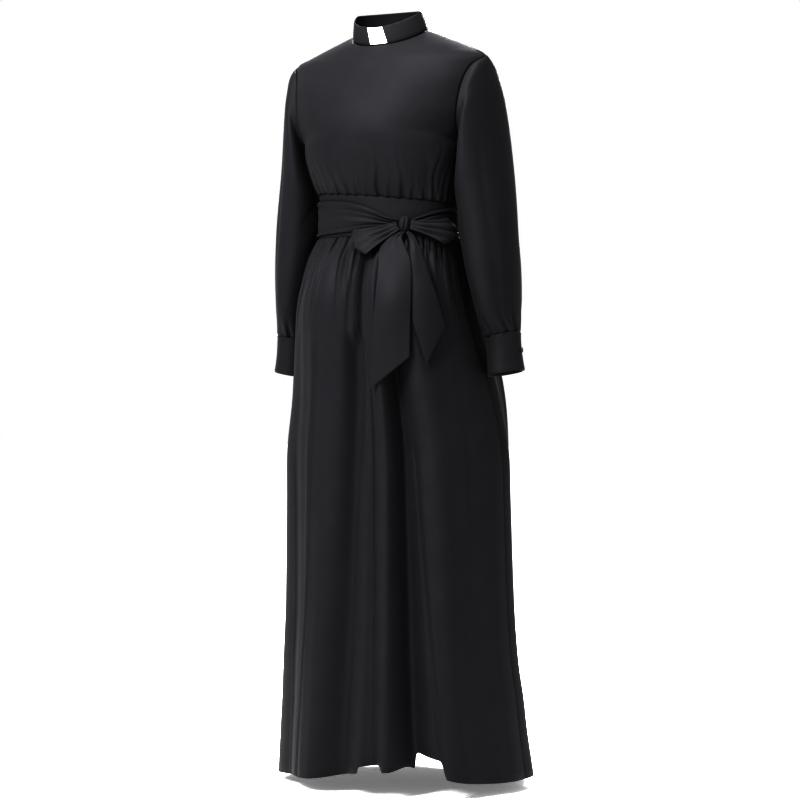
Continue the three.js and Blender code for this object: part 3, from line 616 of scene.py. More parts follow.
def bodice_rim(outer_first, outer_last):
    def out(u, v, points, normal):
        result = normal.copy()
        on_armhole = (v[:, 0] >= UNDERARM) & (v[:, 0] <= SHOULDER_TIP)
        for column, wanted in ((0, outer_first), (-1, outer_last)):
            if wanted:
                shared = armhole_out(points[:, column], normal[:, column])
                result[on_armhole, column] = shared[on_armhole]
        result[-1] = neck_out(result[-1])
        return result
    return out


GATHER_AT_WAIST = 2.6
SMALL_GATHER = 1.3
MEANDER = 0.012
WAIST_DIP = 1.3
NECK_DIP = 1.8


def bodice_lift(surface, places, seam_u):
    i = np.arange(len(places))
    heights = gather_heights(len(places))
    reach = 0.5 + 1.7 * np.abs(np.sin(3.1 * i + 0.4 + 1.3 * np.sin(1.9 * i))) ** 3
    between = (places[1:] + places[:-1]) / 2
    small = gather_heights(len(between) * 2)
    small_places = np.sort(np.concatenate([between, places[:-1] + 0.25 * np.diff(places)]))

    def lift(u, level):
        drift = u + MEANDER * np.sin(2.1 * level + 9 * u) * np.minimum(level, 2)
        fade = wave(places, reach, drift)
        height = GATHER_AT_WAIST * pinched(wave(places, heights, drift)) * bell(level, fade)
        between_them = pinched(wave(small_places, small, drift))
        height += SMALL_GATHER * between_them * bell(level, 0.3 + 0.3 * fade)
        height += creased(surface, BODICE_CREASES, u, level) * smoothstep(level, 0, 0.5)
        height += seam_dip(surface, u, level, seam_u)
        height -= WAIST_DIP * bell(level, 0.07) + NECK_DIP * bell(NECK - level, 0.09)
        return height
    return lift


def seam_dip(surface, u, v, seam_u):
    """Cloth turns in at a seam, which leaves a narrow groove."""
    along_u, _ = slopes(surface, u, v)
    speed = np.linalg.norm(along_u, axis=-1)
    total = np.zeros(u.shape)
    for place in seam_u:
        total -= SEAM_DIP * bell(np.abs(u - place) * speed, SEAM_DIP_WIDTH)
    return total


def bodice_piece(surface, start, end, gathers, columns, facing, outer):
    places = spread(start, end, 2 * gathers, 0.25)
    levels = np.concatenate([eased(0, UNDERARM, 44, 1.35), spread(UNDERARM, SHOULDER_TIP, 36)[1:],
                             spread(SHOULDER_TIP, NECK, 20)[1:]])
    return Cloth(surface, spread(start, end, columns), levels, facing=facing,
                 lift=bodice_lift(surface, places, (start, end)), seams="first last",
                 start_z=over_waist, rim_out=bodice_rim(*outer))


# ---- Sleeves and cuffs ----

def armhole_corners():
    levels = spread(UNDERARM, SHOULDER_TIP, ARMHOLE_STEPS)
    front = front_surface(np.ones_like(levels), levels)
    back = back_surface(np.ones_like(levels), levels)
    return np.concatenate([front, back[::-1][1:]])


ARMHOLE = armhole_corners()


def armhole(turn):
    place = (turn % 1.0) * (len(ARMHOLE) - 1)
    k = np.minimum(np.floor(place).astype(int), len(ARMHOLE) - 2)
    t = (place - k)[..., None]
    return mix(ARMHOLE[k], ARMHOLE[k + 1], t) + np.array([ARMHOLE_GAP, 0, 0])


def sleeve_section(turn, level):
    row = row_at(SLEEVE, "level", level)
    angle = 2 * np.pi * turn
    inner = xyz(row["innerX"], row["innerY"], row["innerZ"])
    outer = xyz(row["outerX"], row["outerY"], row["outerZ"])
    lean = np.radians(row["lean"])
    front = xyz(-np.sin(lean), -np.cos(lean), 0 * lean) * row["halfDepth"][..., None]
    across = (outer - inner) * (-np.cos(angle) / 2)[..., None]
    return (inner + outer) / 2 + across + front * np.sin(angle)[..., None]


def sleeve_surface(turn, level):
    """Sections from the cap's foot down, and over them a cap that leaves the armhole roundly."""
    turn, level = np.broadcast_arrays(np.asarray(turn, float), np.asarray(level, float))
    lower = sleeve_section(turn, np.maximum(level, 1.0))
    foot = sleeve_section(turn, np.ones_like(level))
    step = 0.01
    pull = foot - (sleeve_section(turn, np.full_like(level, 1 + step)) - foot) / (2 * step)
    t = np.clip(level, 0, 1)[..., None]
    cap = armhole(turn) * (1 - t) ** 2 + 2 * pull * t * (1 - t) + foot * t**2
    return np.where((level >= 1)[..., None], lower, cap)


SLEEVE_GATHER = 2.7
SLEEVE_FADE = 0.95
FINE_GATHER = 0.6
ARMHOLE_DIP = 1.0
CUFF_SEAM_DIP = 1.2


def sleeve_lift(turn, level):
    count = 2 * SLEEVE_WAVES + 1
    places = np.linspace(0, 1, count)
    heights = gather_heights(count)
    heights[-1] = heights[0]
    reach = 0.7 + 0.6 * np.abs(np.sin(2.3 * np.arange(count) + 0.9))
    reach[-1] = reach[0]
    fade = SLEEVE_FADE * wave(places, reach, turn)
    height = SLEEVE_GATHER * pinched(wave(places, heights, turn)) * bell(SLEEVE_END - level, fade)
    fine = np.sin(2 * np.pi * turn * 31 + 1.3 * np.sin(2 * np.pi * turn * 3))
    height += FINE_GATHER * fine * bell(SLEEVE_END - level, 0.35)
    height += creased(sleeve_surface, SLEEVE_CREASES, turn, level)
    height *= smoothstep(level, 0, 0.6)
    height -= ARMHOLE_DIP * bell(level, 0.05) + CUFF_SEAM_DIP * bell(SLEEVE_END - level, 0.06)
    return height


def sleeve_rim(u, v, points, normal):
    result = normal.copy()
    result[0] = armhole_out(points[0], normal[0])
    return result


def sleeve_cloth():
    gathered = SLEEVE_END - eased(0, 2, 40, 1.4)[::-1]
    levels = np.concatenate([spread(0, 1, 14), spread(1, 8, 70)[1:], gathered[1:]])
    return Cloth(sleeve_surface, np.linspace(0, 1, 133)[:-1], levels, facing=-1, lift=sleeve_lift,
                 end_z=over_cuff, rim_out=sleeve_rim, closed=True)


def cuff_surface(degrees, z):
    row = row_at(CUFF, "z", z)
    angle = np.radians(degrees)
    proud = smoothstep(degrees, *CUFF_RISE) * CUFF_STEP
    x = row["centreX"] - (row["halfWidth"] + proud) * np.cos(angle)
    y = row["centreY"] - (row["halfDepth"] + proud) * np.sin(angle)
    return xyz(x, y, z + cuff_rise(x))


def cuff_cloth():
    rows = CUFF_TOP + (CUFF_BOTTOM - CUFF_TOP) * np.linspace(0, 1, 19)

    def lift(degrees, z):
        down = (z - CUFF_TOP) / (CUFF_BOTTOM - CUFF_TOP)
        soft = 0.35 * np.sin(np.radians(degrees) * 3 + 2.5 * down) * np.sin(np.pi * down)
        edges = 0.35 * (bell(down - 0.05, 0.03) + bell(down - 0.95, 0.03))
        return soft + edges - 0.9 * bell(down, 0.02) - 0.3 * bell(down - 1, 0.02)
    return Cloth(cuff_surface, spread(CUFF_UNDER_START, CUFF_OVER_END, 150), rows,
                 facing=1, wall=STIFF_WALL, lift=lift, start_z=under_sleeve)


# ---- Collar ----

def collar_surface(degrees, height):
    degrees, height = np.broadcast_arrays(np.asarray(degrees, float), np.asarray(height, float))
    angle = np.radians(degrees)
    cosine = np.cos(angle)
    front = cosine > 0

    def neck(column):
        return np.where(front, BODICE_FRONT[column][-1], BODICE_BACK[column][-1])
    share = np.abs(cosine)
    base = xyz(neck("edgeX") * np.sin(angle),
               neck("edgeY") + (neck("midY") - neck("edgeY")) * share,
               neck("edgeZ") + (neck("midZ") - neck("edgeZ")) * share)
    top = COLLAR_TOP
    top_y = np.where(front, top["frontY"], top["backY"])
    top_z = np.where(front, top["frontZ"], top["backZ"])
    rim = xyz(top["lean"] + top["halfWidth"] * np.sin(angle),
              top["sideY"] + (top_y - top["sideY"]) * share,
              top["sideZ"] + (top_z - top["sideZ"]) * share)
    return mix(base, rim, height[..., None]) + np.array([0, 0, NECK_GAP])


def neck_rim(u, v, points, normal):
    result = normal.copy()
    result[0] = neck_out(normal[0])
    return result


def collar_cloth(side):
    base, top = COLLAR_END_LEFT if side > 0 else COLLAR_END_RIGHT

    def surface(t, height):
        return collar_surface(mix(mix(base, top, height), side * 180.0, t), height)

    def lift(t, height):
        bulge = 0.5 * np.sin(np.pi * height)
        edges = -1.2 * bell(height, 0.06) - 0.3 * bell(height - 1, 0.05)
        return bulge + edges - 0.3 * bell(t, 0.008)
    return Cloth(surface, spread(0, 1, 110), np.linspace(0, 1, 17), facing=side,
                 wall=STIFF_WALL, lift=lift, seams="last", rim_out=neck_rim)


def tab_cloth():
    def surface(t, height):
        right = mix(COLLAR_END_RIGHT[0], COLLAR_END_RIGHT[1], height) - TAB_TUCK
        left = mix(COLLAR_END_LEFT[0], COLLAR_END_LEFT[1], height) + TAB_TUCK
        return collar_surface(mix(right, left, t), height)
    return Cloth(surface, spread(0, 1, 30), np.linspace(0.05, 0.98, 12), wall=TAB_WALL,
                 lift=lambda t, height: -TAB_DEPTH + 0 * t)


# ---- Waistband and skirt ----

def body_ring(degrees, z):
    row = row_at(LOWER_BODY, "z", z)
    angle = np.radians(degrees)
    cosine = np.cos(angle)
    front = cosine > 0
    corner = np.where(front, row["frontCorner"], row["backCorner"])
    fill = 1 + corner * np.sin(2 * angle) ** 2
    depth = np.where(front, row["sideY"] - row["frontY"], row["backY"] - row["sideY"])
    return xyz(row["halfWidth"] * np.sin(angle) * fill, row["sideY"] - depth * cosine * fill, z)


def waistband_surface(degrees, down):
    x = body_ring(degrees, WAIST_TOP + 0 * np.asarray(degrees, float))[..., 0]
    return body_ring(degrees, mix(WAIST_TOP - WAIST_TILT * x, SKIRT_TOP, down))


def waistband_cloth(start, end, columns):
    def lift(degrees, down):
        edge = bell(down, 0.015) + bell(down - 1, 0.015)
        soft = 0.25 * np.sin(np.radians(degrees) * 9 + 4 * down) * np.sin(np.pi * down)
        return soft - 0.7 * edge + seam_dip(waistband_surface, degrees, down, (start, end)) * 0.5
    return Cloth(waistband_surface, spread(start, end, columns), np.linspace(0, 1, 22), facing=-1,
                 wall=WAISTBAND_WALL, lift=lift, seams="first last", start_z=under_waist,
                 end_z=over_skirt)


def fold_height(degrees, down):
    grown = down ** 0.8
    total = np.zeros(np.broadcast(degrees, down).shape)
    for k in range(len(FOLDS["top"])):
        centre = mix(FOLDS["top"][k], FOLDS["hem"][k], down)
        height = mix(FOLDS["topHeight"][k], FOLDS["hemHeight"][k], grown)
        total += height * bell(angle_from(degrees, centre), FOLDS["width"][k])
    return total


def hem_height(degrees):
    total = HEM + 0 * degrees
    for k in range(len(HEM_RISES["angle"])):
        away = np.abs(angle_from(degrees, HEM_RISES["angle"][k]) / HEM_RISES["width"][k])
        total += HEM_RISES["rise"][k] * np.exp(-(away ** HEM_RISES["squareness"][k]))
    return total


def skirt_surface(degrees, down):
    degrees = np.asarray(degrees, float)
    return body_ring(degrees, mix(SKIRT_TOP, hem_height(degrees), down))


SKIRT_GATHER = 3.5
SKIRT_DIP = 1.2
FOLD_START = 0.05


def skirt_creases(degrees, down):
    total = np.zeros(np.broadcast(degrees, down).shape)
    for k in range(len(SKIRT_CREASES["upper"])):
        start, end = SKIRT_CREASES["start"][k], SKIRT_CREASES["end"][k]
        share = np.clip((down - start) / (end - start), 0, 1)
        centre = mix(SKIRT_CREASES["upper"][k], SKIRT_CREASES["lower"][k], share)
        hold = SKIRT_CREASES["hold"][k]
        fade = smoothstep(down, start, start + 0.04) * (1 - smoothstep(share, hold, hold + 0.65))
        width = SKIRT_CREASES["width"][k] * mix(0.8, 1.4, share)
        total += SKIRT_CREASES["height"][k] * fade * bell(angle_from(degrees, centre), width)
    return total


def skirt_lift(places, seam_u):
    heights = gather_heights(len(places))
    i = np.arange(len(places))
    reach = 0.028 + 0.075 * np.abs(np.sin(2.7 * i + 1.9 * np.sin(0.8 * i))) ** 2

    def lift(degrees, down):
        fold = fold_height(degrees, down) * smoothstep(down, 0, FOLD_START)
        drift = degrees + 12 * down * np.sin(0.11 * degrees)
        gathers = SKIRT_GATHER * pinched(wave(places, heights, drift))
        height = fold + gathers * bell(down, wave(places, reach, drift))
        height += skirt_creases(degrees, down)
        height += seam_dip(skirt_surface, degrees, down, seam_u)
        height -= SKIRT_DIP * bell(down, 0.0035)
        return height
    return lift


def skirt_cloth(start, end, gathers, columns, rows):
    places = spread(start, end, 2 * gathers, 0.22)
    return Cloth(skirt_surface, spread(start, end, columns), eased(0, 1, rows, 1.55), facing=-1,
                 lift=skirt_lift(places, (start, end)), seams="first last", start_z=under_waistband)


# ---- Sash and bow ----

def on_body(across, z, out):
    """The place on the body that lies this far across as the bow faces, moved out."""
    across, z = np.broadcast_arrays(np.asarray(across, float), np.asarray(z, float))
    low = np.full(across.shape, math.degrees(BOW_FACING) - 80.0)
    high = low + 160.0
    for _ in range(40):
        middle = (low + high) / 2
        below = body_ring(middle, z) @ BOW_RIGHT < across
        low = np.where(below, middle, low)
        high = np.where(below, high, middle)
    return body_ring(low, z) + BOW_OUT * np.asarray(out, float)[..., None]


def beside_body(across, z, out):
    place = on_body(across, z, 0 * across)
    row = row_at(LOWER_BODY, "z", z)
    around = unit(xyz(place[..., 0], place[..., 1] - row["sideY"], 0 * z))
    return place + unit(around + BOW_OUT) * np.asarray(out, float)[..., None]


def angle_across(across, z):
    x = float(on_body(across, z, 0.0)[0])
    half_width = float(row_at(LOWER_BODY, "z", z)["halfWidth"])
    return math.degrees(math.asin(x / half_width))


def sash_surface(degrees, down):
    row = row_at(SASH_EDGES, "angle", degrees)
    return body_ring(degrees, mix(row["upper"], row["lower"], down))


# Creases along the sash: their places down it at the side and at the knot, width, height,
# and how strong they stay at the side.
SASH_CREASES = table("atSide atKnot width height atSideShare", [
    [0.07, 0.13, 0.050, 1.8, 0.9],
    [0.16, 0.27, 0.032, -2.2, 0.8],
    [0.26, 0.40, 0.060, 1.2, 0.4],
    [0.47, 0.52, 0.045, -1.6, 0.1],
    [0.62, 0.64, 0.070, 1.2, 0.5],
    [0.86, 0.76, 0.040, -2.0, 0.7],
    [0.95, 0.88, 0.045, 1.5, 0.9],
])


def sash_lift(degrees, down):
    near = bell(degrees - 27, 48)
    height = 1.4 + 1.2 * near
    for k in range(len(SASH_CREASES["width"])):
        centre = mix(SASH_CREASES["atSide"][k], SASH_CREASES["atKnot"][k], near)
        centre = centre + 0.02 * np.sin(np.radians(degrees) * 3 + 1.7 * k)
        uneven = 1 + 0.25 * np.sin(np.radians(degrees) * 5 + 2.1 * k)
        strength = mix(SASH_CREASES["atSideShare"][k], 1.0, near) * uneven
        crease = bell(down - centre, SASH_CREASES["width"][k])
        height += SASH_CREASES["height"][k] * strength * crease
    return SASH_CLEAR + WALL + height


def sash_cloth(start, end, columns, rows, seams):
    return Cloth(sash_surface, spread(start, end, columns), spread(0, 1, rows), facing=-1,
                 lift=sash_lift, seams=seams)


def knot_mesh(name):
    """The wrap round the bow: one band over, with creases that run in under its ends."""
    columns, rows = 96, 64
    turns = np.linspace(0, 2 * np.pi, columns, endpoint=False)
    turn, rise = np.meshgrid(turns, np.linspace(0.004, 0.996, rows))
    swing = (rise - 0.5) * np.pi
    body = np.cos(swing) ** 0.5
    creases = 0.13 * pinched(np.cos(6 * turn + 1.4 * swing + 0.8)) * body
    ridge = 1 + (0.07 * np.cos(3 * turn) + creases) * body
    band = 0.06 * bell(rise - 0.5, 0.2)
    across = KNOT["across"] + KNOT["halfWidth"] * body * (ridge + band) * np.cos(turn)
    z = KNOT["z"] + KNOT["halfHeight"] * np.sin(swing) + 2 * body * np.cos(turn)
    round_front = body * (ridge + band * (np.sin(turn) > 0))
    out = KNOT["clear"] + KNOT["depth"] / 2 * (1 + round_front * np.sin(turn))
    foot = on_body(KNOT["across"], KNOT["z"], 0.0)
    points = foot + BOW_RIGHT * (across - KNOT["across"])[..., None] + BOW_OUT * out[..., None]
    points[..., 2] = z
    index = np.arange(rows * columns).reshape(rows, columns)
    index = np.concatenate([index, index[:, :1]], axis=1)
    quads = np.stack([index[:-1, :-1], index[:-1, 1:], index[1:, 1:], index[1:, :-1]], -1)
    ends = [points[:1].mean(axis=1), points[-1:].mean(axis=1)]
    vertices = np.concatenate([points.reshape(-1, 3)] + ends)
    faces = quads.reshape(-1, 4).tolist()
    low, high = rows * columns, rows * columns + 1
    for c in range(columns):
        faces.append([low, index[0, c + 1], index[0, c]])
        faces.append([high, index[-1, c], index[-1, c + 1]])
    flat = np.stack([vertices @ BOW_RIGHT, vertices[:, 2]], -1) * MM
    return mesh_object(name, vertices, faces, flat)


def loop_surface(loop, side):
    def surface(along, width):
        along, width = np.broadcast_arrays(np.asarray(along, float), np.asarray(width, float))
        wing = np.sin(np.pi * np.clip(along, 1e-6, 1 - 1e-6))
        swell = wing ** 1.1
        reach = wing ** 0.85 * (1 - loop["rounding"] * swell * np.abs(width) ** 2.5)
        half_width = mix(PINCH_WIDTH, loop["tipWidth"], swell) / 2
        length = math.hypot(loop["length"], loop["drop"])
        way = (side * loop["length"] / length, -loop["drop"] / length)
        up = (side * loop["drop"] / length, loop["length"] / length)
        across = loop["start"] + way[0] * length * reach + up[0] * half_width * width
        z = KNOT["z"] + way[1] * length * reach + up[1] * half_width * width
        ply = np.sin(2 * np.pi * along) * (1 - loop["skew"] * width)
        layer = np.cos(np.pi * along)
        crown = loop["crown"] * layer * swell * (1 - width ** 2)
        puff = loop["puff"] * (0.5 + 0.5 * ply) * mix(0.55, 1, swell)
        out = loop["lie"] + ROOT_APART * layer + crown + puff
        return beside_body(across, z, out)
    return surface


# Creases that fan out of the knot over a loop: place across its width, width and height.
LOOP_CREASES = table("at width height", [
    [-0.86, 0.10, 1.0],
    [-0.62, 0.14, -3.0],
    [-0.28, 0.20, 2.0],
    [0.04, 0.12, -2.6],
    [0.40, 0.20, 1.5],
    [0.70, 0.11, -2.4],
])


def loop_cloth(loop, side):
    surface = loop_surface(loop, side)

    def lift(along, width):
        near = 1 - 0.6 * np.sin(np.pi * along) ** 1.5
        height = np.zeros(along.shape)
        for k in range(len(LOOP_CREASES["at"])):
            crease = bell(width - LOOP_CREASES["at"][k], LOOP_CREASES["width"][k])
            height += LOOP_CREASES["height"][k] * crease
        return height * near * smoothstep(np.minimum(along, 1 - along), 0.02, 0.12)
    return Cloth(surface, spread(0.02, 0.98, 110), spread(-1, 1, 30), facing=side, lift=lift)


def tail_surface(rows, out):
    def surface(t, level):
        row = row_at(rows, "level", level)
        peak = 1 - np.abs(t - 0.42) / np.where(t < 0.42, 0.42, 0.58)
        z = mix(row["leftZ"], row["rightZ"], t) - row["point"] * peak
        cup = 3 * np.sin(np.pi * np.clip(t, 0, 1)) * np.minimum(1, level)
        return on_body(mix(row["left"], row["right"], t), z, out + cup)
    return surface


def tail_cloth(rows, out):
    levels = len(rows["level"]) - 1
    surface = tail_surface(rows, out)

    def lift(t, level):
        top = bell(level, 1.3)
        fan = 1.1 * np.cos(2 * np.pi * (t * 2.5 + 0.1)) * top * smoothstep(level, 0, 0.5)
        soft = 0.9 * np.sin(2.2 * level + 3.5 * t) * smoothstep(level, 0.5, 2)
        return fan + soft
    return Cloth(surface, spread(0, 1, 36), spread(0, levels, 90), lift=lift)


# ---- Button and stitches ----

# From the middle of the button's back, over its edge, to the middle of its dish, as shares of
# its radius and height.
BUTTON_PROFILE = [(0, 0), (0.86, 0), (0.97, 0.1), (1, 0.32), (0.985, 0.55), (0.93, 0.75),
                  (0.85, 0.85), (0.74, 0.93), (0.64, 0.92), (0.55, 0.78), (0.35, 0.7), (0, 0.68)]


def button_mesh(name, side):
    """A turned button: a flat back, a rounded edge and a shallow dish."""
    sides = 48
    profile = [(BUTTON["radius"] * out, BUTTON["height"] * up) for out, up in BUTTON_PROFILE]
    place = np.array(BUTTON["angle"]), np.array(BUTTON["z"])
    along_u, along_v = slopes(cuff_surface, *place)
    out = unit(np.cross(along_u, along_v))
    centre = cuff_surface(*place) + out * BUTTON["clear"]
    right = unit(np.cross(out, np.array([0.0, 0.0, 1.0])))
    up = np.cross(right, out)
    vertices, faces = [centre + out * profile[0][1]], []
    for radius, height in profile[1:-1]:
        for k in range(sides):
            angle = 2 * math.pi * k / sides
            spoke = right * math.cos(angle) + up * math.sin(angle)
            vertices.append(centre + out * height + spoke * radius)
    vertices.append(centre + out * profile[-1][1])
    rings = len(profile) - 2
    last = len(vertices) - 1
    for k in range(sides):
        n = (k + 1) % sides
        faces.append([0, 1 + k, 1 + n])
        faces.append([last, 1 + (rings - 1) * sides + n, 1 + (rings - 1) * sides + k])
        for r in range(rings - 1):
            a = 1 + r * sides
            faces.append([a + n, a + k, a + sides + k, a + sides + n])
    vertices = np.array(vertices)
    vertices[:, 0] *= side
    made = mesh_object(name, vertices, faces)
    if side > 0:
        made.data.flip_normals()
    return made


STITCH_STEP = 3.2
STITCH_LENGTH = 2.3
STITCH_RADIUS = 0.22
COLLAR_STITCH_ROWS = (1, 15)
CUFF_STITCH_ROWS = (1, 17)


def stitch_tree():
    """Geometry nodes that lay a row of stitches along a curve and join them as one mesh."""
    tree = bpy.data.node_groups.new("stitch_row", "GeometryNodeTree")
    face = tree.interface
    face.new_socket("Geometry", in_out="INPUT", socket_type="NodeSocketGeometry")
    for name in ("Step", "Length", "Radius"):
        face.new_socket(name, in_out="INPUT", socket_type="NodeSocketFloat")
    face.new_socket("Material", in_out="INPUT", socket_type="NodeSocketMaterial")
    face.new_socket("Geometry", in_out="OUTPUT", socket_type="NodeSocketGeometry")
    nodes, links = tree.nodes, tree.links
    enter = nodes.new("NodeGroupInput")
    leave = nodes.new("NodeGroupOutput")
    places = nodes.new("GeometryNodeCurveToPoints")
    places.mode = "LENGTH"
    stitch = nodes.new("GeometryNodeMeshUVSphere")
    stitch.inputs["Segments"].default_value = 6
    stitch.inputs["Rings"].default_value = 4
    half = nodes.new("ShaderNodeMath")
    half.operation = "DIVIDE"
    half.inputs[1].default_value = 2.0
    size = nodes.new("ShaderNodeCombineXYZ")
    shape = nodes.new("GeometryNodeTransform")
    put = nodes.new("GeometryNodeInstanceOnPoints")
    real = nodes.new("GeometryNodeRealizeInstances")
    paint = nodes.new("GeometryNodeSetMaterial")
    stitch.inputs["Radius"].default_value = 1.0
    links.new(enter.outputs["Geometry"], places.inputs["Curve"])
    links.new(enter.outputs["Step"], places.inputs["Length"])
    links.new(enter.outputs["Length"], half.inputs[0])
    links.new(enter.outputs["Radius"], size.inputs["X"])
    links.new(enter.outputs["Radius"], size.inputs["Y"])
    links.new(half.outputs[0], size.inputs["Z"])
    links.new(stitch.outputs["Mesh"], shape.inputs["Geometry"])
    links.new(size.outputs[0], shape.inputs["Scale"])
    links.new(places.outputs["Points"], put.inputs["Points"])
    links.new(places.outputs["Rotation"], put.inputs["Rotation"])
    links.new(shape.outputs["Geometry"], put.inputs["Instance"])
    links.new(put.outputs["Instances"], real.inputs["Geometry"])
    links.new(real.outputs["Geometry"], paint.inputs["Geometry"])
    links.new(enter.outputs["Material"], paint.inputs["Material"])
    links.new(paint.outputs["Geometry"], leave.inputs["Geometry"])
    return tree


def socket_named(tree, name):
    for item in tree.interface.items_tree:
        if item.in_out == "INPUT" and item.name == name:
            return item.identifier
    raise ValueError(name)


def sewing(name, lines, tree, material):
    """Rows of stitches along lines of points, as one plain mesh."""
    curve = bpy.data.curves.new(name + "_lines", "CURVE")
    curve.dimensions = "3D"
    for line in lines:
        spline = curve.splines.new("POLY")
        spline.points.add(len(line) - 1)
        flat = np.concatenate([np.asarray(line) * MM, np.ones((len(line), 1))], axis=1)
        spline.points.foreach_set("co", flat.ravel())
    source = bpy.data.objects.new(name + "_lines", curve)
    bpy.context.scene.collection.objects.link(source)
    modifier = source.modifiers.new("stitches", "NODES")
    modifier.node_group = tree
    modifier[socket_named(tree, "Step")] = STITCH_STEP * MM
    modifier[socket_named(tree, "Length")] = STITCH_LENGTH * MM
    modifier[socket_named(tree, "Radius")] = STITCH_RADIUS * MM
    modifier[socket_named(tree, "Material")] = material
    bpy.context.view_layer.update()
    evaluated = source.evaluated_get(bpy.context.evaluated_depsgraph_get())
    mesh = bpy.data.meshes.new_from_object(evaluated)
    mesh.name = name
    bpy.data.objects.remove(source)
    return smooth_object(name, mesh)


# ---- Finishes ----

def unevenness_group():
    """Slow changes over a surface: a value from 0 to 1 on object coordinates."""
    group = bpy.data.node_groups.new("slow_unevenness", "ShaderNodeTree")
    group.interface.new_socket("Scale", in_out="INPUT", socket_type="NodeSocketFloat")
    group.interface.new_socket("Low", in_out="INPUT", socket_type="NodeSocketFloat")
    group.interface.new_socket("High", in_out="INPUT", socket_type="NodeSocketFloat")
    group.interface.new_socket("Value", in_out="OUTPUT", socket_type="NodeSocketFloat")
    nodes, links = group.nodes, group.links
    enter = nodes.new("NodeGroupInput")
    leave = nodes.new("NodeGroupOutput")
    place = nodes.new("ShaderNodeTexCoord")
    noise = nodes.new("ShaderNodeTexNoise")
    noise.inputs["Detail"].default_value = 3.0
    span = nodes.new("ShaderNodeMapRange")
    links.new(place.outputs["Object"], noise.inputs["Vector"])
    links.new(enter.outputs["Scale"], noise.inputs["Scale"])
    links.new(noise.outputs["Fac"], span.inputs["Value"])
    links.new(enter.outputs["Low"], span.inputs["To Min"])
    links.new(enter.outputs["High"], span.inputs["To Max"])
    links.new(span.outputs["Result"], leave.inputs["Value"])
    return group


def plain_material(name, colour, roughness, group, scale, low, high, **sockets):
    """A finish whose roughness changes slowly between low and high."""
    material = bpy.data.materials.new(name)
    material.use_nodes = True
    tree = material.node_tree
    principled = tree.nodes["Principled BSDF"]
    principled.inputs["Base Color"].default_value = (*colour, 1)
    principled.inputs["Roughness"].default_value = roughness
    for socket, value in sockets.items():
        principled.inputs[socket.replace("_", " ")].default_value = value
    uneven = tree.nodes.new("ShaderNodeGroup")
    uneven.node_tree = group
    uneven.inputs["Scale"].default_value = scale
    uneven.inputs["Low"].default_value = low
    uneven.inputs["High"].default_value = high
    tree.links.new(uneven.outputs["Value"], principled.inputs["Roughness"])
    return material


CREPE_COLOUR = (0.0235, 0.0228, 0.0255)
CREPE_DARKER = (0.0210, 0.0204, 0.0228)
CREPE_LIGHTER = (0.0260, 0.0252, 0.0282)
TONE_SCALE = 22.0
GRAIN = 1500.0
GRAIN_DEPTH = 0.00012
PUCKER = 140.0
PUCKER_DEPTH = 0.0006


def crepe_material(group):
    """Black crepe: a pebbled grain, a slow pucker and a faint sheen."""
    material = plain_material("black_crepe", CREPE_COLOUR, 0.6, group, 9.0, 0.52, 0.66,
                              Sheen_Weight=0.03, Sheen_Roughness=0.5, Specular_IOR_Level=0.1)
    tree = material.node_tree
    nodes, links = tree.nodes, tree.links
    principled = nodes["Principled BSDF"]
    tone = nodes.new("ShaderNodeGroup")
    tone.node_tree = group
    tone.inputs["Scale"].default_value = TONE_SCALE
    tone.inputs["Low"].default_value = 0.0
    tone.inputs["High"].default_value = 1.0
    tint = nodes.new("ShaderNodeMix")
    tint.data_type = "RGBA"
    tint.inputs["A"].default_value = (*CREPE_DARKER, 1)
    tint.inputs["B"].default_value = (*CREPE_LIGHTER, 1)
    links.new(tone.outputs["Value"], tint.inputs["Factor"])
    links.new(tint.outputs["Result"], principled.inputs["Base Color"])
    place = nodes.new("ShaderNodeTexCoord")
    grain = nodes.new("ShaderNodeTexNoise")
    grain.inputs["Scale"].default_value = GRAIN
    grain.inputs["Detail"].default_value = 2.0
    pucker = nodes.new("ShaderNodeTexNoise")
    pucker.inputs["Scale"].default_value = PUCKER
    pucker.inputs["Detail"].default_value = 3.0
    fine = nodes.new("ShaderNodeBump")
    fine.inputs["Strength"].default_value = 0.25
    fine.inputs["Distance"].default_value = GRAIN_DEPTH
    slow = nodes.new("ShaderNodeBump")
    slow.inputs["Strength"].default_value = 0.35
    slow.inputs["Distance"].default_value = PUCKER_DEPTH
    links.new(place.outputs["Object"], grain.inputs["Vector"])
    links.new(place.outputs["Object"], pucker.inputs["Vector"])
    links.new(grain.outputs["Fac"], fine.inputs["Height"])
    links.new(pucker.outputs["Fac"], slow.inputs["Height"])
    links.new(slow.outputs["Normal"], fine.inputs["Normal"])
    links.new(fine.outputs["Normal"], principled.inputs["Normal"])
    return material


# ---- Stage ----

CAMERA_AZIMUTH = math.radians(25)
CAMERA_DISTANCE = 4400.0
CAMERA_HEIGHT = -725.0
CAMERA_SHIFT = 20.0
LENS = 100
SENSOR = 36
LOOK = np.array([-math.sin(CAMERA_AZIMUTH), math.cos(CAMERA_AZIMUTH), 0.0])
RIGHT = np.array([math.cos(CAMERA_AZIMUTH), math.sin(CAMERA_AZIMUTH), 0.0])


def turned_to(place, target):
    return (Vector(target) - Vector(place)).to_track_quat("-Z", "Y").to_euler()


def make_camera():
    data = bpy.data.cameras.new("camera")
    data.lens = LENS
    data.sensor_width = SENSOR
    camera = bpy.data.objects.new("camera", data)
    bpy.context.scene.collection.objects.link(camera)
    place = (RIGHT * CAMERA_SHIFT - LOOK * CAMERA_DISTANCE) * MM
    place[2] = CAMERA_HEIGHT * MM
    camera.location = place
    camera.rotation_euler = turned_to(place, place + LOOK)
    bpy.context.scene.camera = camera


